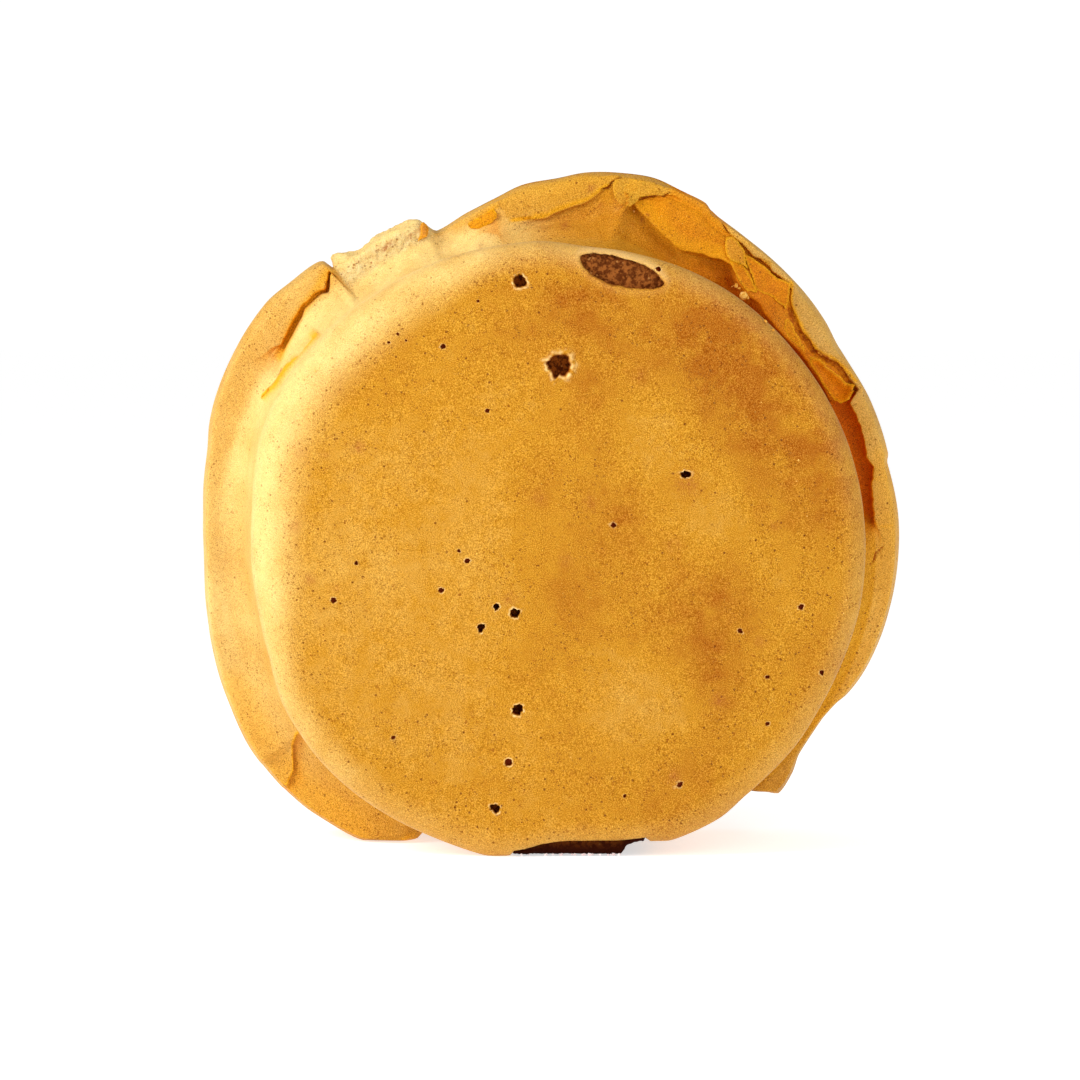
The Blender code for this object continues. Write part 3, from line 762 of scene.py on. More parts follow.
for line in CRACKS:
    cut = line_mark(line, 0.13)
    p -= normal * (0.25 * cut)[:, None]
    crack = np.maximum(crack, 0.8 * cut)

cut = line_mark(SEAMS["granular_strip"], 0.5)
p += normal * (cut * (0.16 * grit(p, 0.45, 13) + 0.1 * grit(p, 0.2, 14) - 0.1))[:, None]
crack = np.maximum(crack, cut * (0.65 + 0.7 * grit(p, 0.4, 15)))
granular = lump * np.exp(-((r - 33.9 + 0.3 * grit(p, 1.5, 19)) / 0.45) ** 2)
crack = np.maximum(crack, granular * (0.4 + 0.6 * grit(p, 1.4, 17)))

# Painted glow: the yellow seam is raised and painted with yellow light, as if light shone through its thin
# edge.
cut = line_mark(SEAMS["yellow_seam"], 0.46)
p += normal * (0.3 * cut)[:, None]
painted_glow = np.maximum(painted_glow, cut)

# The torn edge on the lower left: the skin ends along a line, and a lower layer starts.
torn_edge = np.array(SEAMS["lower_left"])
past = (deg - np.interp(r, torn_edge[:, 1], torn_edge[:, 0])) * np.radians(r) + wobble
under = on_back * ease(past, 0.0, 0.12) * (1.0 - ease(past, 2.0, 9.0)) * (deg > 200) * (deg < 250)
p += np.array([0.0, 1.0, 0.0]) * (0.45 * under)[:, None]
# A thin line of painted glow runs along this torn edge, as light catching it.
painted_glow = np.maximum(painted_glow, on_back * np.exp(-((past + 0.08) / 0.16) ** 2) * (deg > 210) * (deg < 225))
fresh = np.maximum(fresh, 0.4 * under * (1.0 - ease(past, 0.2, 2.0)))

# At the top right the broken skin goes right out to the rim.
fresh = np.maximum(fresh, 0.6 * between(deg, 62.0, 71.0, 1.5) * ease(r, 35.0, 35.8) * on_back)
print("marked as crack:", int((crack > 0.5).sum()), "vertices")

# %% Painted glow along thin edges and on shaded bands
# Painted glow: yellow light painted along thin torn edges, as if light shone through them, and
# broad bands that paint extra light on the back disc and its facets. Each is a line of
# (degrees, radius) points, a width and a strength.
PAINTED_GLOW_LINES = [
    ([(59.4, 32.9), (62.8, 32.7), (64.6, 32.4), (66.8, 32.2), (69.1, 32.6), (71.4, 33.2),
      (74, 34.0), (76, 34.7)], 1.9, 0.5),
    ([(63.5, 34.6), (67, 34.8), (71, 35.0), (74, 35.4)], 1.8, 0.3),
    ([(58, 35.9), (66, 36.6), (75, 36.7), (85, 35.7), (95, 34.3), (106, 33.9)], 2.6, 0.32),
    ([(47.4, 35.05), (46.0, 34.05), (45, 33.45), (42, 32.85), (39, 32.5), (36, 32.45), (33.4, 33.3),
      (31, 33.75), (28, 34.1)], 0.26, 0.9),
    ([(81.8, 36.0), (82.8, 35.4), (84.8, 34.3), (86.9, 33.8), (89.9, 33.1), (92, 32.5),
      (97.6, 32.4)], 0.34, 0.95),
    ([(45.2, 33.4), (46.2, 34.1), (47.7, 35.1)], 0.3, 0.8),
    ([(130, 35.2), (132.8, 34.7), (136.8, 34.4), (140, 34.1), (142, 33.7), (146, 33.2)], 0.8, 0.6),
    ([(100.0, 33.9), (101.5, 33.7), (104.6, 33.1)], 0.5, 0.6),
    ([(14.2, 34.5), (13, 34.2), (11.4, 34.1), (10.8, 33.6), (10.9, 32.6)], 0.18, 0.6),
    ([(2.2, 34.2), (2.6, 33.4), (2.4, 32.8), (3.0, 32.2)], 0.25, 0.6),
    ([(4, 31.8), (10, 32.0), (16, 32.0), (21, 32.2), (25, 32.2)], 2.0, 0.15),
    ([(14, 33.9), (0, 33.5), (350, 33.1), (338, 32.7), (326, 32.3)], 2.4, 0.36),
    ([(205, 35.6), (215, 36.0), (225, 35.9), (235, 35.2)], 2.8, 0.35),
    ([(112.0, 34.4), (112.8, 33.8), (113.2, 33.2)], 0.5, 0.5),
    ([(243.4, 33.6), (244.6, 32.6), (245.6, 31.6)], 0.8, 0.8)]
for line, width, strength in PAINTED_GLOW_LINES:
    nearest = line_distance(line, p)
    behind = ease(p[:, 1], 3.8, 5.0) if width < 1.5 else ease(p[:, 1], 4.0, 7.0)
    shine = strength * (1.0 - ease(nearest, 0.2 * width, width))
    painted_glow = np.maximum(painted_glow, shine * on_back * (1.0 - behind))
print("glowing:", int((painted_glow > 0.5).sum()), "vertices")

# %% Where it is pale: painted highlight and thin glaze
# How pale the waist and the back disc's front are, and the rounded edge of the front. It is mostly
# painted highlight: strongest on the left and upper left, where the lamp falls, and along the
# rounded edge, which catches light at a grazing angle. It also brightens the band on the right,
# which lies in shade. Thin glaze adds a little.
highlight_waist = once_round([
    (0, 0.0), (78, 0.0), (88, 0.1), (96, 0.5), (104, 0.85), (112, 1.0), (150, 0.95), (180, 0.6),
    (212, 0.45), (232, 0.12), (250, 0.05), (270, 0.0)])
highlight_band = once_round([
    (0, 0.36), (20, 0.38), (36, 0.38), (60, 0.38), (72, 0.12), (84, 0.12), (98, 0.25),
    (112, 0.6), (128, 0.4), (150, 0.4), (175, 0.6), (190, 0.8), (204, 0.6), (215, 0.42),
    (228, 0.2), (240, 0.1), (270, 0.1), (310, 0.08), (340, 0.38)])
highlight_edge = once_round([
    (0, 0.2), (30, 0.16), (60, 0.22), (90, 0.4), (110, 0.75), (150, 0.9), (175, 0.95), (195, 0.8),
    (220, 0.5), (250, 0.25), (300, 0.2), (340, 0.25)])
rim = front_radius(deg)
soft_edge = edge_rounding(deg)
beyond = ease(r, rim - 0.2, rim + 0.2) + ease(p[:, 1], -10.0, -8.0) * (r < rim + 0.3)
bare_side = (deg < 112.0) | (deg > 290.0)
inner_edge = np.where(bare_side, ledge_radius(deg) - 0.1, 33.0)
outer = ease(r, inner_edge, inner_edge + np.where(bare_side, 0.4, 1.2))
rounding = ease(r, rim - 1.25 * soft_edge - 0.5, rim - 0.25 * soft_edge) * (p[:, 1] < -6.0)
highlight_and_thin = np.minimum(beyond, 1.0) * blend(highlight_waist(deg), highlight_band(deg), outer)
highlight_and_thin = np.maximum(highlight_and_thin, highlight_edge(deg) * rounding)
highlight_and_thin *= (p[:, 1] < 9.0) * (1.0 + 0.35 * grit(p, 3.0, 16))
# The lump is painted pale as well, as highlight where the light from the upper left falls on it.
highlight_and_thin = np.maximum(highlight_and_thin * (1.0 - 0.8 * fresh), 1.1 * lump)
# Painted glow: the deep floor of the recess is marked to be painted a hotter orange, as light bounced
# inside it.
painted_recess_glow = fresh * ease(p[:, 1], 3.5, 4.8) * on_back * (1.0 - between(deg, 57.0, 98.0, 3.0))
p[:, 2] = np.maximum(p[:, 2], 0.0)
print("palest:", round(float(highlight_and_thin.max()), 2))

# %% [markdown]
# ## Where the glaze changes colour
#
# Caramel is paler where it is thin or dusty, and deeper where it has set thick. Much of the
# paleness is painted highlight, where the lamp on the left falls. The mottling on the face is a
# few broad clouds, so each is a named blot with a place, a reach and a strength; the broadest
# of them paint the light across the face, paler on the left and darker on the upper right.
# Painting an image would also do it, but marks on the vertices need no file.

# %% Clouds on the face, and painted light across it
# x, z, reach, strength; a plus is darker, a minus paler. Most are the glaze's own mottling, but
# the broadest paint the light across the face: paler on the left, towards the lamp, and darker
# on the upper right.
MOTTLES_AND_LIGHT = [
    (6.0, 33.6, 3.2, 0.9), (2.2, 24.8, 4.0, 0.9), (14.5, 24.2, 5.8, 1.1), (16.0, 17.8, 3.0, 0.9),
    (-18.0, 46.5, 6.0, 0.5), (17.5, 50.0, 5.0, 0.5), (25.5, 37.5, 4.0, 0.4), (20.0, 46.0, 13.0, 0.85),
    (4.0, 41.5, 3.0, 0.35), (13.5, 52.0, 4.0, 0.3), (4.0, 55.5, 3.5, 0.3), (14.0, 36.0, 2.2, 0.35),
    (2.0, 54.0, 7.0, 0.9), (4.2, 45.0, 2.2, 0.6), (28.5, 19.5, 4.5, 0.6), (14.0, 6.0, 6.0, 0.5),
    (-0.8, 36.5, 2.6, 0.4), (27.0, 38.0, 7.0, 0.3), (18.0, 46.0, 4.0, 0.3),
    (14.5, 51.2, 5.0, 0.55), (17.5, 46.5, 4.0, 0.3), (24.0, 41.0, 4.0, 0.5), (21.0, 33.6, 3.0, 0.4),
    (11.0, 43.0, 6.5, -0.7), (15.5, 34.0, 4.5, -0.6), (20.5, 29.0, 3.5, -0.5),
    (9.0, 15.5, 5.5, -0.5), (-12.0, 12.0, 6.5, -0.4), (-18.0, 28.0, 11.0, -0.6)]



def blots(places):
    """The sum of soft round blots, seen from the front."""
    total = np.zeros(len(p))
    for x, z, reach, strength in places:
        total += strength * np.exp(-((p[:, 0] - x) ** 2 + (p[:, 2] - z) ** 2) / reach ** 2)
    return total


mottle_and_light = blots(MOTTLES_AND_LIGHT) * (p[:, 1] < FACE_ENDS)
mottle_and_light *= 1.0 + 0.7 * grit(p, 2.4, 11) + 0.5 * grit(p, 0.9, 18)
print("clouds:", len(MOTTLES_AND_LIGHT))

# %% Small reddish stains
# x, z, reach, strength.
STAIN_ENDS = 5.0
STAINS = [
    (-18.7, 40.2, 0.5, 1.0), (-24.3, 39.5, 0.45, 0.5), (-22.0, 39.5, 0.4, 0.5), (-25.0, 32.6, 0.5, 0.8),
    (-23.5, 27.3, 0.5, 0.8), (-21.0, 26.4, 0.35, 0.5), (16.3, 15.5, 0.7, 0.8), (12.0, 8.0, 0.7, 0.8),
    (21.8, 32.5, 0.4, 0.6), (20.4, 21.2, 0.5, 0.6), (13.3, 36.6, 1.3, 0.6), (11.9, 30.8, 0.8, 0.5),
    (-1.2, 35.3, 0.8, 0.5), (3.8, 34.8, 0.7, 0.5), (1.4, 29.2, 0.7, 0.5), (-4.0, 25.4, 0.7, 0.6),
    (1.4, 61.7, 0.4, 1.0), (4.9, 63.7, 0.35, 0.7), (4.0, 65.4, 0.4, 1.0), (9.6, 62.8, 0.17, 1.6),
    (9.1, 62.3, 0.17, 1.6), (-7.0, 59.7, 0.4, 0.4), (8.5, 47.0, 1.0, 0.4)]
stain = blots(STAINS) * (p[:, 1] < STAIN_ENDS)
print("stains:", len(STAINS))

# %% The finished glaze
p *= MM
glaze_mesh_data.vertices.foreach_set("co", p.ravel())
marks = {"fresh": fresh, "bare": bare, "lip": lip, "mottle_and_light": mottle_and_light, "stain": stain, "painted_recess_glow": painted_recess_glow,
         "porous": lump * (1.0 - 0.65 * ease(r, 34.2, 34.8)), "painted_glow": painted_glow, "crack": crack,
         "highlight_and_thin": np.clip(highlight_and_thin, 0.0, 1.0)}
for name, values in marks.items():
    mark(glaze_mesh_data, name, values)
glaze_mesh_data.shade_smooth()
glaze = put("caramel_glaze", glaze_mesh_data)
print("marks on the glaze:", sorted(marks))

# %% [markdown]
# ## The biscuit
#
# Inside is a dark, dry crumb. It shows in the oval, in the deep holes and along the foot, so the
# core is a turned shape whose rows and columns are close together only there. Its surface is
# lumps of three sizes, which always go inwards, so that it never pushes through the glaze.

# %% Turn the core
def core_radius(deg):
    """The biscuit is round, apart from the strip where it reaches the ground."""
    down = AXIS_Z / np.maximum(-np.sin(np.radians(deg)), 0.5)
    return blend(CORE_RADIUS, down, core_rise(deg))


def closed_mesh(name, verts, faces):
    """A mesh whose faces all point outwards."""
    mesh = bpy.data.meshes.new(name)
    mesh.from_pydata(verts, [], faces)
    bm = bmesh.new()
    bm.from_mesh(mesh)
    bmesh.ops.recalc_face_normals(bm, faces=bm.faces)
    bm.to_mesh(mesh)
    bm.free()
    return mesh


def core_mesh():
    deg = spread((0, 65, 4), (65, 90, 0.45), (90, 256, 4), (256, 292, 0.36), (292, 360, 4))
    radius = core_radius(deg)
    edge = 0.7
    rows = [(even(r, deg), even(CORE_FRONT, deg)) for r in (2.0, 8.0, 14.0, 19.0, 23.0)]
    rows += [(even(r, deg), even(CORE_FRONT, deg)) for r in np.arange(24.2, 27.0, 0.22)]
    for t in np.radians(np.linspace(0, 90, 7)):
        rows.append((radius - edge + edge * math.sin(t), even(CORE_FRONT + edge - edge * math.cos(t), deg)))
    rows += [(radius, even(y, deg)) for y in np.arange(CORE_FRONT + 1.0, -6.0, 0.3)]
    rows += [(radius, even(y, deg)) for y in np.arange(-5.5, CORE_BACK - 1.0, 0.8)]
    rows += [(radius, even(CORE_BACK - 0.8, deg)), (radius - 0.8, even(CORE_BACK, deg)),
             (even(14.0, deg), even(CORE_BACK, deg))]
    return closed_mesh("biscuit_crumb", *join_rings([(deg, r, y) for r, y in rows],
                                                    CORE_FRONT, CORE_BACK))


core = core_mesh()
print("biscuit:", len(core.vertices), "vertices")

# %% Roughen it
q = read(core)
lumps = (0.5 + 0.5 * grit(q, 1.3, 21)) * 0.22
lumps += np.abs(grit(q, 0.55, 22)) * 0.25 + np.abs(grit(q, 0.28, 23)) * 0.14
nibbled = np.where(q[:, 1] < -9.8, 1.3, 0.5)
# Painted shade: the crumb near the ground is marked to be darkened, as shade under the disc.
mark(core, "foot", 1.0 - ease(q[:, 2], 1.6, 3.0))
q -= read(core, "normal") * (lumps * np.where(q[:, 2] < 0.6, nibbled, 1.0))[:, None]
q[:, 2] = np.maximum(q[:, 2], 0.0)
core.vertices.foreach_set("co", (q * MM).ravel())
core.shade_smooth()
biscuit = put("biscuit_crumb", core)
print("deepest pit, mm:", round(float(lumps.max()), 2))

# %% [markdown]
# ## Flakes of skin
#
# Over the upper right the skin has broken into thin plates that overlap and lift. A chip has
# lifted at the notch, and the tip of the lump on the upper left has curled over. Each is a separate
# sliver of caramel: an outline of a few corners, whose sides are made ragged, filled with small
# triangles, cupped a little and given a thickness. Cloth or fracture simulation could break a
# sheet up, but not into these few plates in these places.

# %% Fill an outline with small triangles
def ragged_line(corners, rough, step=0.14):
    """The outline through the corners, with small teeth; its middle is on the right."""
    loop = []
    for a, b in zip(corners, np.roll(corners, -1, axis=0)):
        steps = max(2, round(np.linalg.norm(b - a) / step))
        side = np.array([b[1] - a[1], a[0] - b[0]])
        side /= max(np.linalg.norm(side), 1e-6)
        for k in range(steps):
            q = blend(a, b, k / steps)
            tooth = noise.noise(Vector((*q, 0.0)) / 0.45) + 0.6 * noise.noise(Vector((*q, 3.0)) / 0.2)
            loop.append(q + side * rough * 1.6 * tooth * min(1.0, 4 * k / steps))
    return np.array(loop)


def filled(name, outline, cell, front, thickness):
    """A closed plate over an outline of x, z; `front` gives its y from x, z and the depth in."""
    low, high = outline.min(0), outline.max(0)
    grid = [(x, z) for row, z in enumerate(np.arange(low[1], high[1], 0.87 * cell))
            for x in np.arange(low[0] + 0.5 * cell * (row % 2), high[0], cell)]
    grid = np.array(grid)
    grid = grid[inside_distance(outline, grid[:, 0], grid[:, 1]) > 0.45 * cell]
    flat = np.concatenate([outline, grid])
    depth_in = np.maximum(inside_distance(outline, flat[:, 0], flat[:, 1]), 0.0)
    depth_in[:len(outline)] = 0.0
    n = len(flat)
    sides = [(i, (i + 1) % len(outline)) for i in range(len(outline))]
    points, _, triangles, _, _, _ = geometry.delaunay_2d_cdt(
        [Vector(v) for v in flat], sides, [], 1, 1e-5)
    if len(points) != n:
        raise ValueError("the outline of %s crosses itself" % name)
    face = np.stack([flat[:, 0], front(flat[:, 0], flat[:, 1], depth_in), flat[:, 1]], -1)
    verts = np.concatenate([face, face + np.array([0.0, thickness, 0.0])]) * MM
    faces = [tuple(t) for t in triangles] + [tuple(n + i for i in reversed(t)) for t in triangles]
    faces += [(a, b, n + b, n + a) for a, b in sides]
    mesh = closed_mesh(name, [tuple(v) for v in verts], faces)
    mesh.shade_smooth()
    return put(name, mesh), depth_in


# %% Build a flake
SHARP = math.radians(50)
FLAKE_CELL = 0.2


def resting_front(deg, r):
    """The front of the skin or the band that a flake lies on."""
    inner, ledge = skin_radius(deg), ledge_radius(deg)
    band = BAND_FRONT + band_shift(deg)
    on_skin = sheet_front(deg, np.clip((r - inner) / np.maximum(ledge - inner, 0.3), 0.0, 1.0))
    return np.where((deg < 78) & (r < ledge), on_skin, band)


def flake(name, corners, thickness=0.4, rough=0.07, cup=0.0, fresh=0.5, painted_glow=0.6, highlight_and_thin=0.0,
          painted_face_glow=0.0):
    """A thin plate; its corners are (degrees, radius, lift off what it lies on)."""
    degs, radii, lifts = [np.array(column, float) for column in zip(*corners)]
    plan = points_at(degs, radii, 0.0)[:, (0, 2)]

    def front(x, z, depth_in):
        near = 1.0 / (np.linalg.norm(np.stack([x, z], -1)[:, None] - plan[None], axis=2) ** 2 + 0.02)
        lift = (near * lifts).sum(1) / near.sum(1)
        at = np.degrees(np.arctan2(z - AXIS_Z, x - AXIS_X)) % 360.0
        y = resting_front(at, np.hypot(x - AXIS_X, z - AXIS_Z)) - lift
        y += cup * ease(depth_in, 0.0, 0.9) + 0.07 * (1.0 - ease(depth_in, 0.0, 0.14))
        return y + 0.04 * grit(np.stack([x, 0 * x, z], -1), 0.9, 31)

    obj, depth_in = filled(name, ragged_line(plan, rough), FLAKE_CELL, front, thickness)
    n = len(depth_in)
    mark(obj.data, "fresh", np.full(2 * n, fresh))
    mark(obj.data, "highlight_and_thin", np.full(2 * n, highlight_and_thin))
    # Painted glow: yellow light painted round the flake's thin edge, and over its whole face where the
    # flake is thin.
    painted_glow_front = np.maximum(painted_face_glow, painted_glow * np.exp(-(depth_in / 0.16) ** 2))
    mark(obj.data, "painted_glow", np.concatenate([painted_glow_front, np.full(n, painted_glow)]))
    obj.data.set_sharp_from_angle(angle=SHARP)
    return obj


# %% The flakes
flakes = [
    flake("flake_curl", [(36.0, 31.5, 0.1), (34.4, 32.2, 0.2), (32.3, 32.4, 0.25), (29.9, 33.0, 0.4),
                         (28.6, 33.1, 0.5), (27.6, 33.8, 0.75), (26.7, 33.4, 0.8), (25.7, 32.65, 0.6),
                         (25.7, 31.75, 0.3), (26.9, 31.3, 0.2), (30.5, 31.05, 0.1), (34.5, 31.1, 0.1)],
          cup=0.2, fresh=1.0, painted_glow=0.9),
    flake("flake_tile", [(43.9, 31.8, 0.15), (43.8, 32.2, 0.2), (42.5, 32.2, 0.2), (41.2, 31.85, 0.2),
                         (39.5, 31.75, 0.15), (37.9, 31.6, 0.1), (36.9, 31.4, 0.1), (38.0, 31.25, 0.1),
                         (39.6, 31.15, 0.1), (41.0, 31.0, 0.1), (42.5, 31.1, 0.1)], fresh=0.8,
          painted_glow=0.95, painted_face_glow=0.3),
    flake("flake_plate", [(56.5, 34.3, 0.2), (55.3, 34.5, 0.2), (53.7, 34.5, 0.2), (52.0, 34.5, 0.2),
                          (49.9, 34.4, 0.2), (48.6, 34.7, 0.25), (47.7, 34.9, 0.3), (46.7, 34.15, 0.35),
                          (45.8, 33.4, 0.35), (45.2, 32.75, 0.3), (46.6, 32.7, 0.2), (48.7, 32.65, 0.15),
                          (50.4, 32.3, 0.15), (51.7, 32.25, 0.15), (53.3, 32.95, 0.2), (54.8, 33.5, 0.25),
                          (55.8, 33.85, 0.25)],
          fresh=0.85, painted_glow=0.95, painted_face_glow=0.12),
    flake("flake_point", [(58.4, 33.05, 0.3), (57.2, 33.3, 0.3), (55.7, 33.4, 0.3), (54.5, 33.15, 0.3),
                          (53.0, 32.7, 0.3), (51.0, 32.0, 0.25), (52.5, 31.5, 0.25), (54.6, 31.8, 0.25),
                          (56.3, 32.3, 0.25), (57.6, 32.75, 0.25)], fresh=0.9, painted_glow=1.0, painted_face_glow=0.2),
    flake("flake_fin", [(60.6, 34.8, -0.1), (59.7, 35.3, -0.1), (58.2, 34.95, 0.2), (56.8, 34.65, 0.35),
                        (56.2, 34.05, 0.4), (54.9, 33.4, 0.45), (55.8, 33.4, 0.45), (57.3, 33.2, 0.45),
                        (58.3, 33.05, 0.45), (59.1, 33.3, 0.4), (60.2, 34.05, 0.2)],
          fresh=0.45, highlight_and_thin=0.15, painted_glow=1.0, painted_face_glow=0.2),
    flake("flake_tongue", [(80.6, 36.65, 0.15), (80.8, 35.9, 0.35), (80.2, 34.95, 0.5), (79.1, 34.3, 0.5),
                           (77.4, 34.25, 0.45), (76.4, 35.0, 0.4), (76.2, 35.45, 0.35), (74.3, 35.9, 0.15),
                           (72.0, 36.7, -0.2), (75.0, 37.1, -0.3), (79.0, 37.0, -0.25)],
          rough=0.02, fresh=0.0, highlight_and_thin=0.1, painted_glow=0.6, painted_face_glow=0.4),
    flake("lump_curl", [(113.0, 34.45, 0.25), (113.7, 33.5, 0.3), (114.7, 32.95, 0.1), (113.6, 33.05, 0.3),
                        (112.8, 33.05, 0.45), (112.1, 33.6, 0.5), (112.1, 34.15, 0.5), (112.4, 34.5, 0.4)],
          thickness=0.7, rough=0.02, fresh=0.5, highlight_and_thin=0.25, painted_glow=0.6),
    flake("notch_chip", [(105.6, 32.95, 0.05), (103.0, 33.35, 0.1), (100.5, 33.85, 0.1),
                         (100.1, 33.3, 0.35), (100.3, 32.85, 0.45), (101.3, 32.45, 0.5),
                         (103.8, 32.15, 0.4), (105.2, 32.45, 0.2)],
          rough=0.03, fresh=0.8, painted_glow=1.0, painted_face_glow=0.5),
]
print("flakes:", [len(o.data.polygons) for o in flakes])

# %% [markdown]
# ## The crumb in the bare oval
#
# The oval is uncoated biscuit that lies just under the rim of the glaze. Its crumb is finer than
# the core's mesh can carry, so it is a plate of its own, filled with tiny triangles, that follows
# the curve of the front a third of a millimetre down.

# %% Build the bare patch
def front_surface(x, z):
    """The y of the smooth front, rounded edge and all, at x, z."""
    at = np.degrees(np.arctan2(z - AXIS_Z, x - AXIS_X)) % 360.0
    reach = np.hypot(x - AXIS_X, z - AXIS_Z)
    rim, edge = front_radius(at), edge_rounding(at)
    out = np.clip(reach - (rim - edge), 0.0, edge)
    dome = FRONT_Y + FRONT_DROP * np.minimum(reach / (rim - edge), 1.0) ** 2
    return dome + edge - np.sqrt(np.maximum(edge ** 2 - out ** 2, 0.0))


def oval_crumb_front(x, z, depth_in):
    q = np.stack([x, 0.0 * x, z], -1)
    lumps = 0.20 * grit(q, 1.0, 41) + 0.15 * np.abs(grit(q, 0.5, 42)) + 0.12 * grit(q, 0.22, 43)
    return front_surface(x, z) + 0.34 + 0.25 * (1.0 - ease(depth_in, 0.25, 0.8)) - lumps


middle = oval.mean(0)
outwards = oval - middle
outwards /= np.linalg.norm(outwards, axis=1)[:, None]
oval_crumb, _ = filled("oval_crumb", oval + 0.22 * outwards, 0.11, oval_crumb_front, 0.9)
print("oval crumb:", len(oval_crumb.data.polygons), "faces")

# %% [markdown]
# ## Loose crumbs
#
# A few tan crumbs lie in the groove, pale ones cling under the foot, and tiny light grains stick
# to the skin. They are one kind of thing repeated, so Geometry Nodes place them: a small rough
# pebble on each of a few points, turned and sized at random from a fixed seed. The points carry
# a size, so the same tree makes the big crumbs and the grains.

# %% The tree that scatters crumbs
def crumb_tree():
    tree = bpy.data.node_groups.new("crumb_scatter", "GeometryNodeTree")
    face = tree.interface
    face.new_socket(name="Geometry", in_out="INPUT", socket_type="NodeSocketGeometry")
    for name, kind, value in (("Size", "NodeSocketFloat", 1.0), ("Roughness", "NodeSocketFloat", 0.4),
                              ("Seed", "NodeSocketInt", 3), ("Material", "NodeSocketMaterial", None)):
        socket = face.new_socket(name=name, in_out="INPUT", socket_type=kind)
        if value is not None:
            socket.default_value = value
    face.new_socket(name="Geometry", in_out="OUTPUT", socket_type="NodeSocketGeometry")

    def add(kind, sockets, out=0, **settings):
        made = tree.nodes.new(kind)
        for name, value in settings.items():
            setattr(made, name, value)
        for name, value in sockets.items():
            if isinstance(value, bpy.types.NodeSocket):
                tree.links.new(value, made.inputs[name])
            else:
                made.inputs[name].default_value = value
        return made.outputs[out]

    given = tree.nodes.new("NodeGroupInput").outputs
    pebble = add("GeometryNodeMeshIcoSphere", {"Radius": MM, "Subdivisions": 2}, "Mesh")
    turned = add("FunctionNodeRandomValue", {0: (0.0, 0.0, 0.0), 1: (6.28, 6.28, 6.28),
                                             "Seed": given["Seed"]}, data_type="FLOAT_VECTOR")
    squashed = add("FunctionNodeRandomValue", {0: (0.6, 0.6, 0.6), 1: (1.2, 1.2, 1.2),
                                               "Seed": given["Seed"]}, data_type="FLOAT_VECTOR")
    size = add("GeometryNodeInputNamedAttribute", {"Name": "size"}, "Attribute", data_type="FLOAT")
    size = add("ShaderNodeMath", {0: size, 1: given["Size"]}, operation="MULTIPLY")
    scale = add("ShaderNodeVectorMath", {0: squashed, "Scale": size}, operation="SCALE")
    placed = add("GeometryNodeInstanceOnPoints", {"Points": given["Geometry"], "Instance": pebble,
                                                  "Rotation": turned, "Scale": scale})
    real = add("GeometryNodeRealizeInstances", {0: placed})
    rough = add("ShaderNodeTexNoise", {"Scale": 3000.0, "Detail": 2.0}, "Color")
    rough = add("ShaderNodeVectorMath", {0: rough, 1: (0.5, 0.5, 0.5)}, operation="SUBTRACT")
    reach = add("ShaderNodeMath", {0: given["Roughness"], 1: MM}, operation="MULTIPLY")
    offset = add("ShaderNodeVectorMath", {0: rough, "Scale": reach}, operation="SCALE")
    moved = add("GeometryNodeSetPosition", {"Geometry": real, "Offset": offset})
    done = add("GeometryNodeSetMaterial", {"Geometry": moved, "Material": given["Material"]})
    tree.links.new(done, tree.nodes.new("NodeGroupOutput").inputs[0])
    return tree


def scatter(name, tree, places, material, **inputs):
    """A plain mesh of crumbs at (x, y, z, size) places, made by the tree."""
    seeds = bpy.data.meshes.new(name + "_places")
    seeds.from_pydata([tuple(MM * c for c in place[:3]) for place in places], [], [])
    mark(seeds, "size", [place[3] for place in places])
    carrier = put(name + "_places", seeds)
    modifier = carrier.modifiers.new("scatter", "NODES")
    modifier.node_group = tree
    for item in tree.interface.items_tree:
        if item.in_out == "INPUT" and item.name in inputs:
            modifier[item.identifier] = inputs[item.name]
        if item.in_out == "INPUT" and item.name == "Material":
            modifier[item.identifier] = material
    graph = bpy.context.evaluated_depsgraph_get()
    mesh = bpy.data.meshes.new_from_object(carrier.evaluated_get(graph), depsgraph=graph)
    bpy.data.objects.remove(carrier)
    print(name + ":", len(places), "places,", len(mesh.polygons), "faces")
    return put(name, mesh)


# %% [markdown]
# ## Shader arithmetic
#
# A finish is a chain of small sums on noise patterns. Wiring Math nodes by hand is slow to read,
# so a socket is wrapped in a class whose operators add those nodes, and the finishes below read
# like formulas.

# %% A socket that can be reckoned with
PER_MM = 1000.0


class Value:
    """A shader socket; sums on it add Math nodes."""

    def __init__(self, finish, socket):
        self.finish = finish
        self.socket = socket

    def sum(self, operation, first, second):
        return self.finish.node("Math", {"operation": operation}, {0: first, 1: second})

    def __add__(self, other):
        return self.sum("ADD", self, other)

    def __radd__(self, other):
        return self.sum("ADD", other, self)

    def __sub__(self, other):
        return self.sum("SUBTRACT", self, other)

    def __rsub__(self, other):
        return self.sum("SUBTRACT", other, self)

    def __mul__(self, other):
        return self.sum("MULTIPLY", self, other)

    def __rmul__(self, other):
        return self.sum("MULTIPLY", other, self)

    def at_most(self, other):
        return self.sum("MINIMUM", self, other)

    def ramp(self, low, high):
        """0 at low, 1 at high, smooth between them."""
        return self.finish.node("MapRange", {"interpolation_type": "SMOOTHSTEP"},
                                {"Value": self, "From Min": low, "From Max": high})


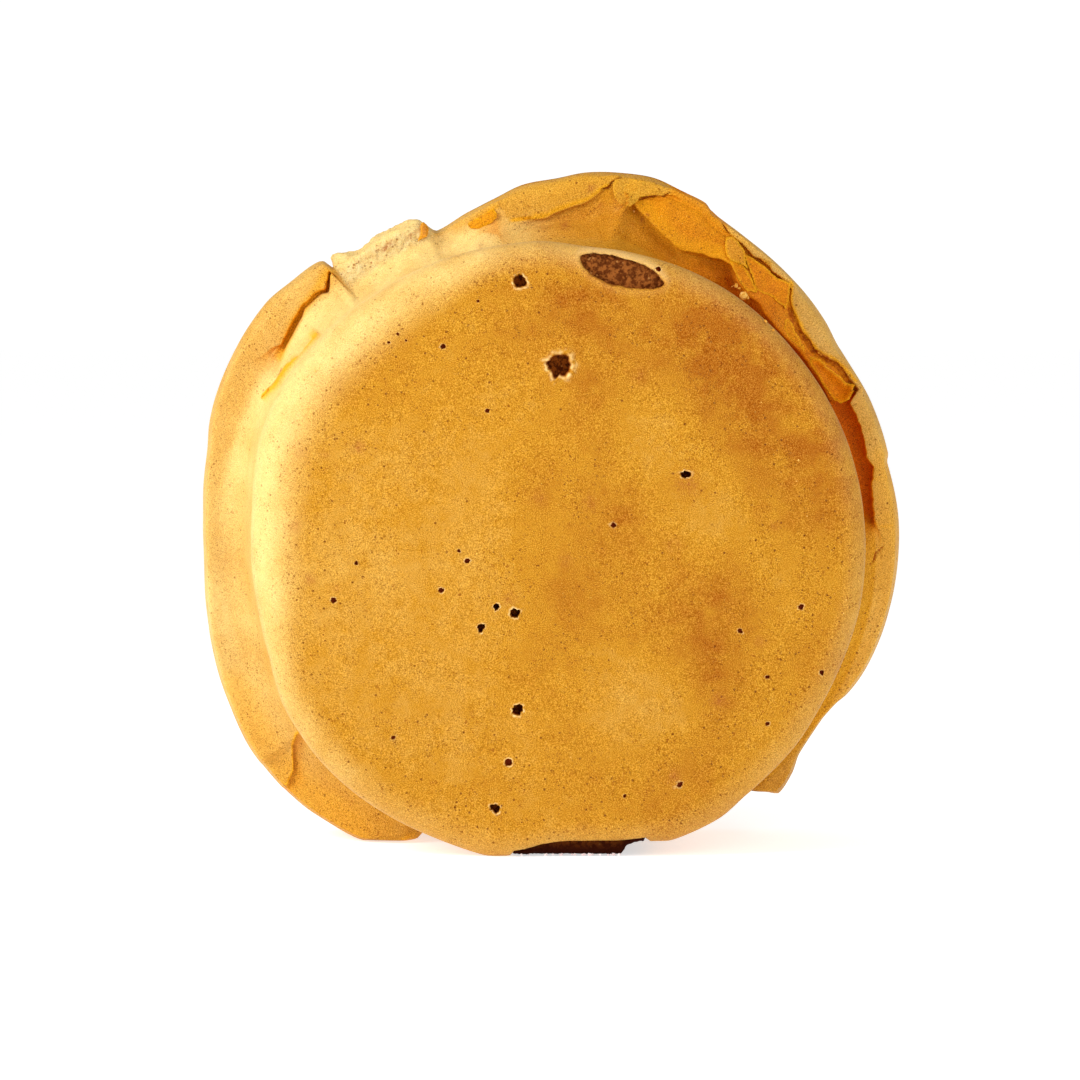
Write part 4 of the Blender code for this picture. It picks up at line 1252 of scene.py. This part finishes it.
# %% A material with short ways to add its nodes
class Finish:
    """A material that reads Object coordinates; its lengths are in millimetres."""

    def __init__(self, name, constants):
        self.material = bpy.data.materials.new(name)
        self.material.use_nodes = True
        self.tree = self.material.node_tree
        self.shader = self.tree.nodes["Principled BSDF"]
        for socket, value in constants.items():
            self.shader.inputs[socket].default_value = value
        self.place = self.node("TexCoord", out="Object")

    def node(self, kind, settings=None, sockets=None, out=0):
        made = self.tree.nodes.new("ShaderNode" + kind)
        for name, value in (settings or {}).items():
            setattr(made, name, value)
        for name, value in (sockets or {}).items():
            self.feed(made.inputs[name], value)
        return Value(self, made.outputs[out])

    def feed(self, socket, value):
        if isinstance(value, Value):
            self.tree.links.new(value.socket, socket)
        else:
            socket.default_value = value

    def noise(self, grain, detail=2.0, roughness=0.5):
        """Noise of 0 to 1 whose grain is in millimetres."""
        return self.node("TexNoise", None, {"Vector": self.place, "Detail": detail,
                                            "Scale": PER_MM / grain, "Roughness": roughness})

    def dots(self, grain, radius, share):
        """Round dots of a radius, in a share of the cells; both are in millimetres."""
        near = self.node("TexVoronoi", None, {"Vector": self.place, "Scale": PER_MM / grain},
                         "Distance")
        picked = Value(self, near.socket.node.outputs["Color"])
        return (1.0 - near.ramp(0.5 * radius / grain, radius / grain)) * picked.ramp(
            0.92 - 0.85 * share, 0.96 - 0.85 * share)

    def attribute(self, name):
        return self.node("Attribute", {"attribute_name": name}, out="Fac")

    def mix(self, amount, first, second, blending="MIX"):
        """A mix of two colours."""
        return self.node("Mix", {"data_type": "RGBA", "blend_type": blending},
                         {0: amount, 6: first, 7: second}, 2)

    def bump(self, height, distance, strength, under=None):
        sockets = {"Height": height, "Distance": distance * MM, "Strength": strength}
        if under:
            sockets["Normal"] = under
        return self.node("Bump", None, sockets)

    def surface(self, **sockets):
        for name, value in sockets.items():
            self.feed(self.shader.inputs[name.replace("_", " ")], value)
        return self.material


# %% A colour
def shade(red, green, blue):
    """A colour from screen values of 0 to 255."""
    parts = [c / 255.0 for c in (red, green, blue)]
    return (*[c / 12.92 if c < 0.04 else ((c + 0.055) / 1.055) ** 2.4 for c in parts], 1.0)


# %% [markdown]
# ## Caramel
#
# The glaze is an opaque, waxy caramel: yellow-tan with darker clouds, a fine grain and a scatter
# of brown specks of ground biscuit. Freshly broken caramel is more orange and has fewer specks.
# Light is painted in too: a yellow glow on thin edges, a hotter orange deep in the recess and
# pale highlight where the lamp on the left falls. Specks come from cells: a dot in the middle of
# some cells, in three sizes, which looks more like ground crumbs than plain noise does. Noise adds
# the brown mottles.

# %% The caramel finish
SKIN_TAN = shade(208, 143, 30)
SKIN_DEEP = shade(177, 96, 2)
HIGHLIGHT_PALE = shade(250, 216, 142)
MOTTLE_AND_LIT_PALE = shade(226, 174, 84)
FRESH_ORANGE = shade(238, 136, 0)
FRESH_DEEP = shade(224, 118, 0)
RECESS_GLOW_ORANGE = shade(255, 128, 0)
PAINTED_GLOW_YELLOW = shade(248, 176, 20)
CRACK_BROWN = shade(156, 74, 10)
SPECK_BROWN = shade(122, 54, 4)
MOTTLE_BROWN = shade(160, 80, 4)
STAIN_RED = shade(172, 84, 40)
GRAIN_PALE = shade(252, 212, 98)
LUMP_CREAM = shade(255, 236, 180)
LIP_CREAM = shade(250, 212, 142)
HOLE_BROWN = shade(132, 48, 8)
DULL = shade(186, 178, 150)
FOOT_SHADE_BROWN = shade(44, 9, 0)


def caramel_finish():
    c = Finish("caramel", {"IOR": 1.46, "Specular IOR Level": 0.06, "Subsurface Weight": 0.08,
                           "Subsurface Scale": 0.001, "Subsurface Radius": (1.0, 0.5, 0.2)})
    fresh, highlight_and_thin = c.attribute("fresh"), c.attribute("highlight_and_thin")
    # Patchy tone: random noise plus the clouds, whose broadest members are painted light, paler on the left
    # and darker on the upper right.
    patchy = (c.noise(9.0, 3.0, 0.55) - 0.5) * 0.9 + c.attribute("mottle_and_light") * 0.55
    patchy = patchy + (c.noise(1.4, 4.0, 0.7) - 0.5) * 0.95
    colour = c.mix(patchy * 1.1, SKIN_TAN, SKIN_DEEP)
    colour = c.mix(patchy * -1.1, colour, MOTTLE_AND_LIT_PALE)
    # Painted highlight, partly thin glaze: the marked places are pushed towards a pale cream.
    colour = c.mix(highlight_and_thin * (0.85 + (c.noise(0.8, 3.0) - 0.5) * 0.5), colour, HIGHLIGHT_PALE)
    broken = c.mix(c.noise(0.9, 3.0, 0.6).ramp(0.35, 0.65), FRESH_ORANGE, FRESH_DEEP)
    colour = c.mix(fresh, colour, broken)
    # Painted glow: thin edges are painted yellow, as light shining through them.
    colour = c.mix(c.attribute("painted_glow"), colour, PAINTED_GLOW_YELLOW)
    # Painted glow: the deep recess floor is pushed towards a hot orange, as light bounced inside it.
    colour = c.mix(c.attribute("painted_recess_glow") * 0.5, colour, RECESS_GLOW_ORANGE)
    creamy = c.attribute("porous") * (0.4 + (c.noise(0.6, 3.0) - 0.5) * 1.3)
    colour = c.mix(creamy, colour, LUMP_CREAM)
    granules = c.dots(0.34, 0.16, 0.6) * c.noise(1.5, 1.0).ramp(0.4, 0.6)
    colour = c.mix(granules * c.attribute("porous") * 0.75, colour, CRACK_BROWN)

    thick = c.noise(2.4, 3.0, 0.6).ramp(0.4, 0.62) * 0.85 + 0.15
    mottles = c.noise(0.4, 3.0, 0.7).ramp(0.57, 0.7) * (thick * 0.8 + 0.2)
    colour = c.mix(mottles * (0.8 - highlight_and_thin * 0.5 - fresh * 0.4), colour, MOTTLE_BROWN)
    fine = c.dots(0.26, 0.09, 0.6) * thick * 0.65
    middling = c.dots(0.5, 0.13, 0.5) * thick * 0.95
    bold = c.dots(1.0, 0.16, 0.35) * 0.9
    specks = (fine + middling + bold).at_most(0.9) * (1.0 - fresh * 0.4) * (1.0 - highlight_and_thin * 0.45)
    colour = c.mix(specks, colour, SPECK_BROWN)
    # Scattered pale dots, in patches.
    pale_dot_patches = c.noise(1.6, 1.0).ramp(0.5, 0.65)
    colour = c.mix(c.dots(0.4, 0.06, 0.3) * pale_dot_patches * 0.8, colour, GRAIN_PALE)
    stained = c.attribute("stain") * (0.6 + (c.noise(0.3, 2.0) - 0.5) * 2.2)
    colour = c.mix(stained.at_most(0.8), colour, STAIN_RED)
    grain = c.noise(0.1, 2.0, 0.8)
    dull = c.mix(1.0, colour, DULL, "MULTIPLY")
    colour = c.mix(((grain - 0.5) * 3.4 + 0.5) * (1.0 - highlight_and_thin * 0.35), colour, dull)
    colour = c.mix((0.53 - grain) * (1.1 - fresh * 0.8), colour, GRAIN_PALE)
    crumbly = c.attribute("crack") * (0.75 + (c.noise(0.22, 3.0, 0.7) - 0.5) * 1.6)
    colour = c.mix(crumbly.ramp(0.15, 0.75), colour, CRACK_BROWN)
    colour = c.mix(c.attribute("lip").at_most(1.0), colour, LIP_CREAM)
    colour = c.mix(c.attribute("bare"), colour, HOLE_BROWN)

    height = c.noise(0.9, 3.0, 0.55) * 0.6 + grain * 0.4
    normal = c.bump(height, 0.06, 0.5)
    coarse = c.noise(0.35, 4.0, 0.7) * c.attribute("porous")
    normal = c.bump(coarse, 0.4, 0.9, normal)
    rough = 0.46 + (grain - 0.5) * 0.15 + c.attribute("porous") * 0.3
    return c.surface(Base_Color=colour, Roughness=rough, Normal=normal)


# %% [markdown]
# ## Biscuit crumb
#
# Baked crumb is dry and has no gloss at all. Two browns and a few lighter grains come from noise
# of about half a millimetre. Near the ground the crumb is painted darker, as shade under the disc,
# so a mark on the mesh deepens it there.

# %% The crumb finishes
def crumb_finish(name, deep, light, grains, grain=0.55):
    b = Finish(name, {"IOR": 1.4, "Specular IOR Level": 0.08})
    colour = b.mix(b.noise(grain, 3.0, 0.65).ramp(0.42, 0.58), deep, light)
    colour = b.mix(b.dots(0.5, 0.16, 0.35) * 0.6, colour, grains)
    # Painted shade: crumb marked near the ground is pushed towards a very dark brown.
    colour = b.mix(b.attribute("foot"), colour, FOOT_SHADE_BROWN)
    normal = b.bump(b.noise(0.2, 3.0, 0.6), 0.12, 0.8)
    return b.surface(Base_Color=colour, Roughness=b.noise(0.5) * 0.1 + 0.82, Normal=normal)


caramel = caramel_finish()
crumb = crumb_finish("biscuit_crumb", shade(78, 30, 2), shade(146, 76, 20), shade(196, 136, 70))
bare_crumb = crumb_finish("bare_crumb", shade(88, 40, 8), shade(138, 78, 30), shade(180, 124, 66), 0.4)
tan_crumb = crumb_finish("tan_crumb", shade(208, 142, 48), shade(240, 190, 96), shade(255, 216, 134))
sugar_crumb = crumb_finish("sugar_crumb", shade(226, 200, 198), shade(246, 232, 230), shade(255, 250, 248))
glaze.data.materials.append(caramel)
biscuit.data.materials.append(crumb)
oval_crumb.data.materials.append(bare_crumb)
for piece in flakes:
    piece.data.materials.append(caramel)
print("finishes:", [m.name for m in (caramel, crumb, bare_crumb, tan_crumb, sugar_crumb)])

# %% Where the crumbs lie
# x, z and size in millimetres. Each takes its depth from the skin or the groove that carries it.
LOOSE = [(18.45, 55.75, 0.27), (18.75, 55.45, 0.16), (19.2, 54.75, 0.42), (19.55, 54.6, 0.2),
         (18.2, 55.6, 0.12), (20.9, 52.45, 0.15), (21.6, 51.6, 0.1)]
GRAINS = [(8.3, 63.15, 0.14), (29.65, 37.35, 0.13), (24.05, 38.95, 0.11), (23.85, 36.9, 0.07),
          (28.9, 24.6, 0.1), (28.5, 24.0, 0.09), (28.75, 25.3, 0.08), (27.9, 23.6, 0.08),
          (28.2, 24.9, 0.07), (27.6, 25.9, 0.07), (-20.6, 28.4, 0.09), (-23.6, 25.1, 0.09),
          (-14.4, 23.5, 0.07), (-22.6, 20.9, 0.07), (1.9, 9.9, 0.07), (12.0, 57.9, 0.07),
          (-23.0, 47.6, 0.08), (20.4, 44.6, 0.07), (14.3, 40.1, 0.07), (24.9, 33.5, 0.06)]
glaze_points = read(glaze_mesh_data) / MM
CRUMB_REACH = 0.3


def carried(places, sunk):
    """Put each place on the frontmost skin behind it, sunk in by a share of its size."""
    out = []
    for x, z, size in places:
        gap = np.hypot(glaze_points[:, 0] - x, glaze_points[:, 2] - z)
        y = glaze_points[gap < CRUMB_REACH, 1].min()
        out.append((x, y + sunk * size, z, size))
    return out


# %% Scatter them
chance = np.random.default_rng(5)
nibbles = [(x, -11.3 + 0.6 * chance.random(), 0.2, 0.07 + 0.1 * chance.random())
           for x in np.concatenate([chance.uniform(0.6, 6.8, 24), chance.uniform(-3.0, 0.6, 7)])]
tree = crumb_tree()
crumbs = [scatter("loose_crumbs", tree, carried(LOOSE, -0.3), tan_crumb, Roughness=0.4),
          scatter("skin_grains", tree, carried(GRAINS, 0.1), tan_crumb, Roughness=0.06),
          scatter("foot_crumbs", tree, nibbles, sugar_crumb, Roughness=0.1)]

# %% [markdown]
# ## The white table
#
# The object stands on a wide white sheet. It glows a little, which keeps it pure white into the
# distance and leaves only a faint shadow, as on a light table. It is stage, so it isn't part of
# the object.

# %% The floor
FLOOR = 2.0
floor_mesh = bpy.data.meshes.new("floor")
floor_mesh.from_pydata([(-FLOOR, -FLOOR, 0), (FLOOR, -FLOOR, 0), (FLOOR, FLOOR, 0), (-FLOOR, FLOOR, 0)],
                       [], [(0, 1, 2, 3)])
floor = put("floor", floor_mesh)
white = Finish("white_table", {"Base Color": (0.78, 0.78, 0.78, 1.0), "Roughness": 0.9,
                               "Specular IOR Level": 0.0, "Emission Strength": 0.61,
                               "Emission Color": (1.0, 1.0, 1.0, 1.0)})
floor_mesh.materials.append(white.material)
print("floor, m:", 2 * FLOOR, "square")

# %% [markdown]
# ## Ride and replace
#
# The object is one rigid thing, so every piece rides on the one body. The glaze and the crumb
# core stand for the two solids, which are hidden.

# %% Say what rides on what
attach(glaze, "root")
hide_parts("coating")
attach(biscuit, "root")
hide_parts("biscuit")
for piece in flakes:
    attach(piece, "root")
for piece in (oval_crumb, *crumbs):
    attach(piece, "root")
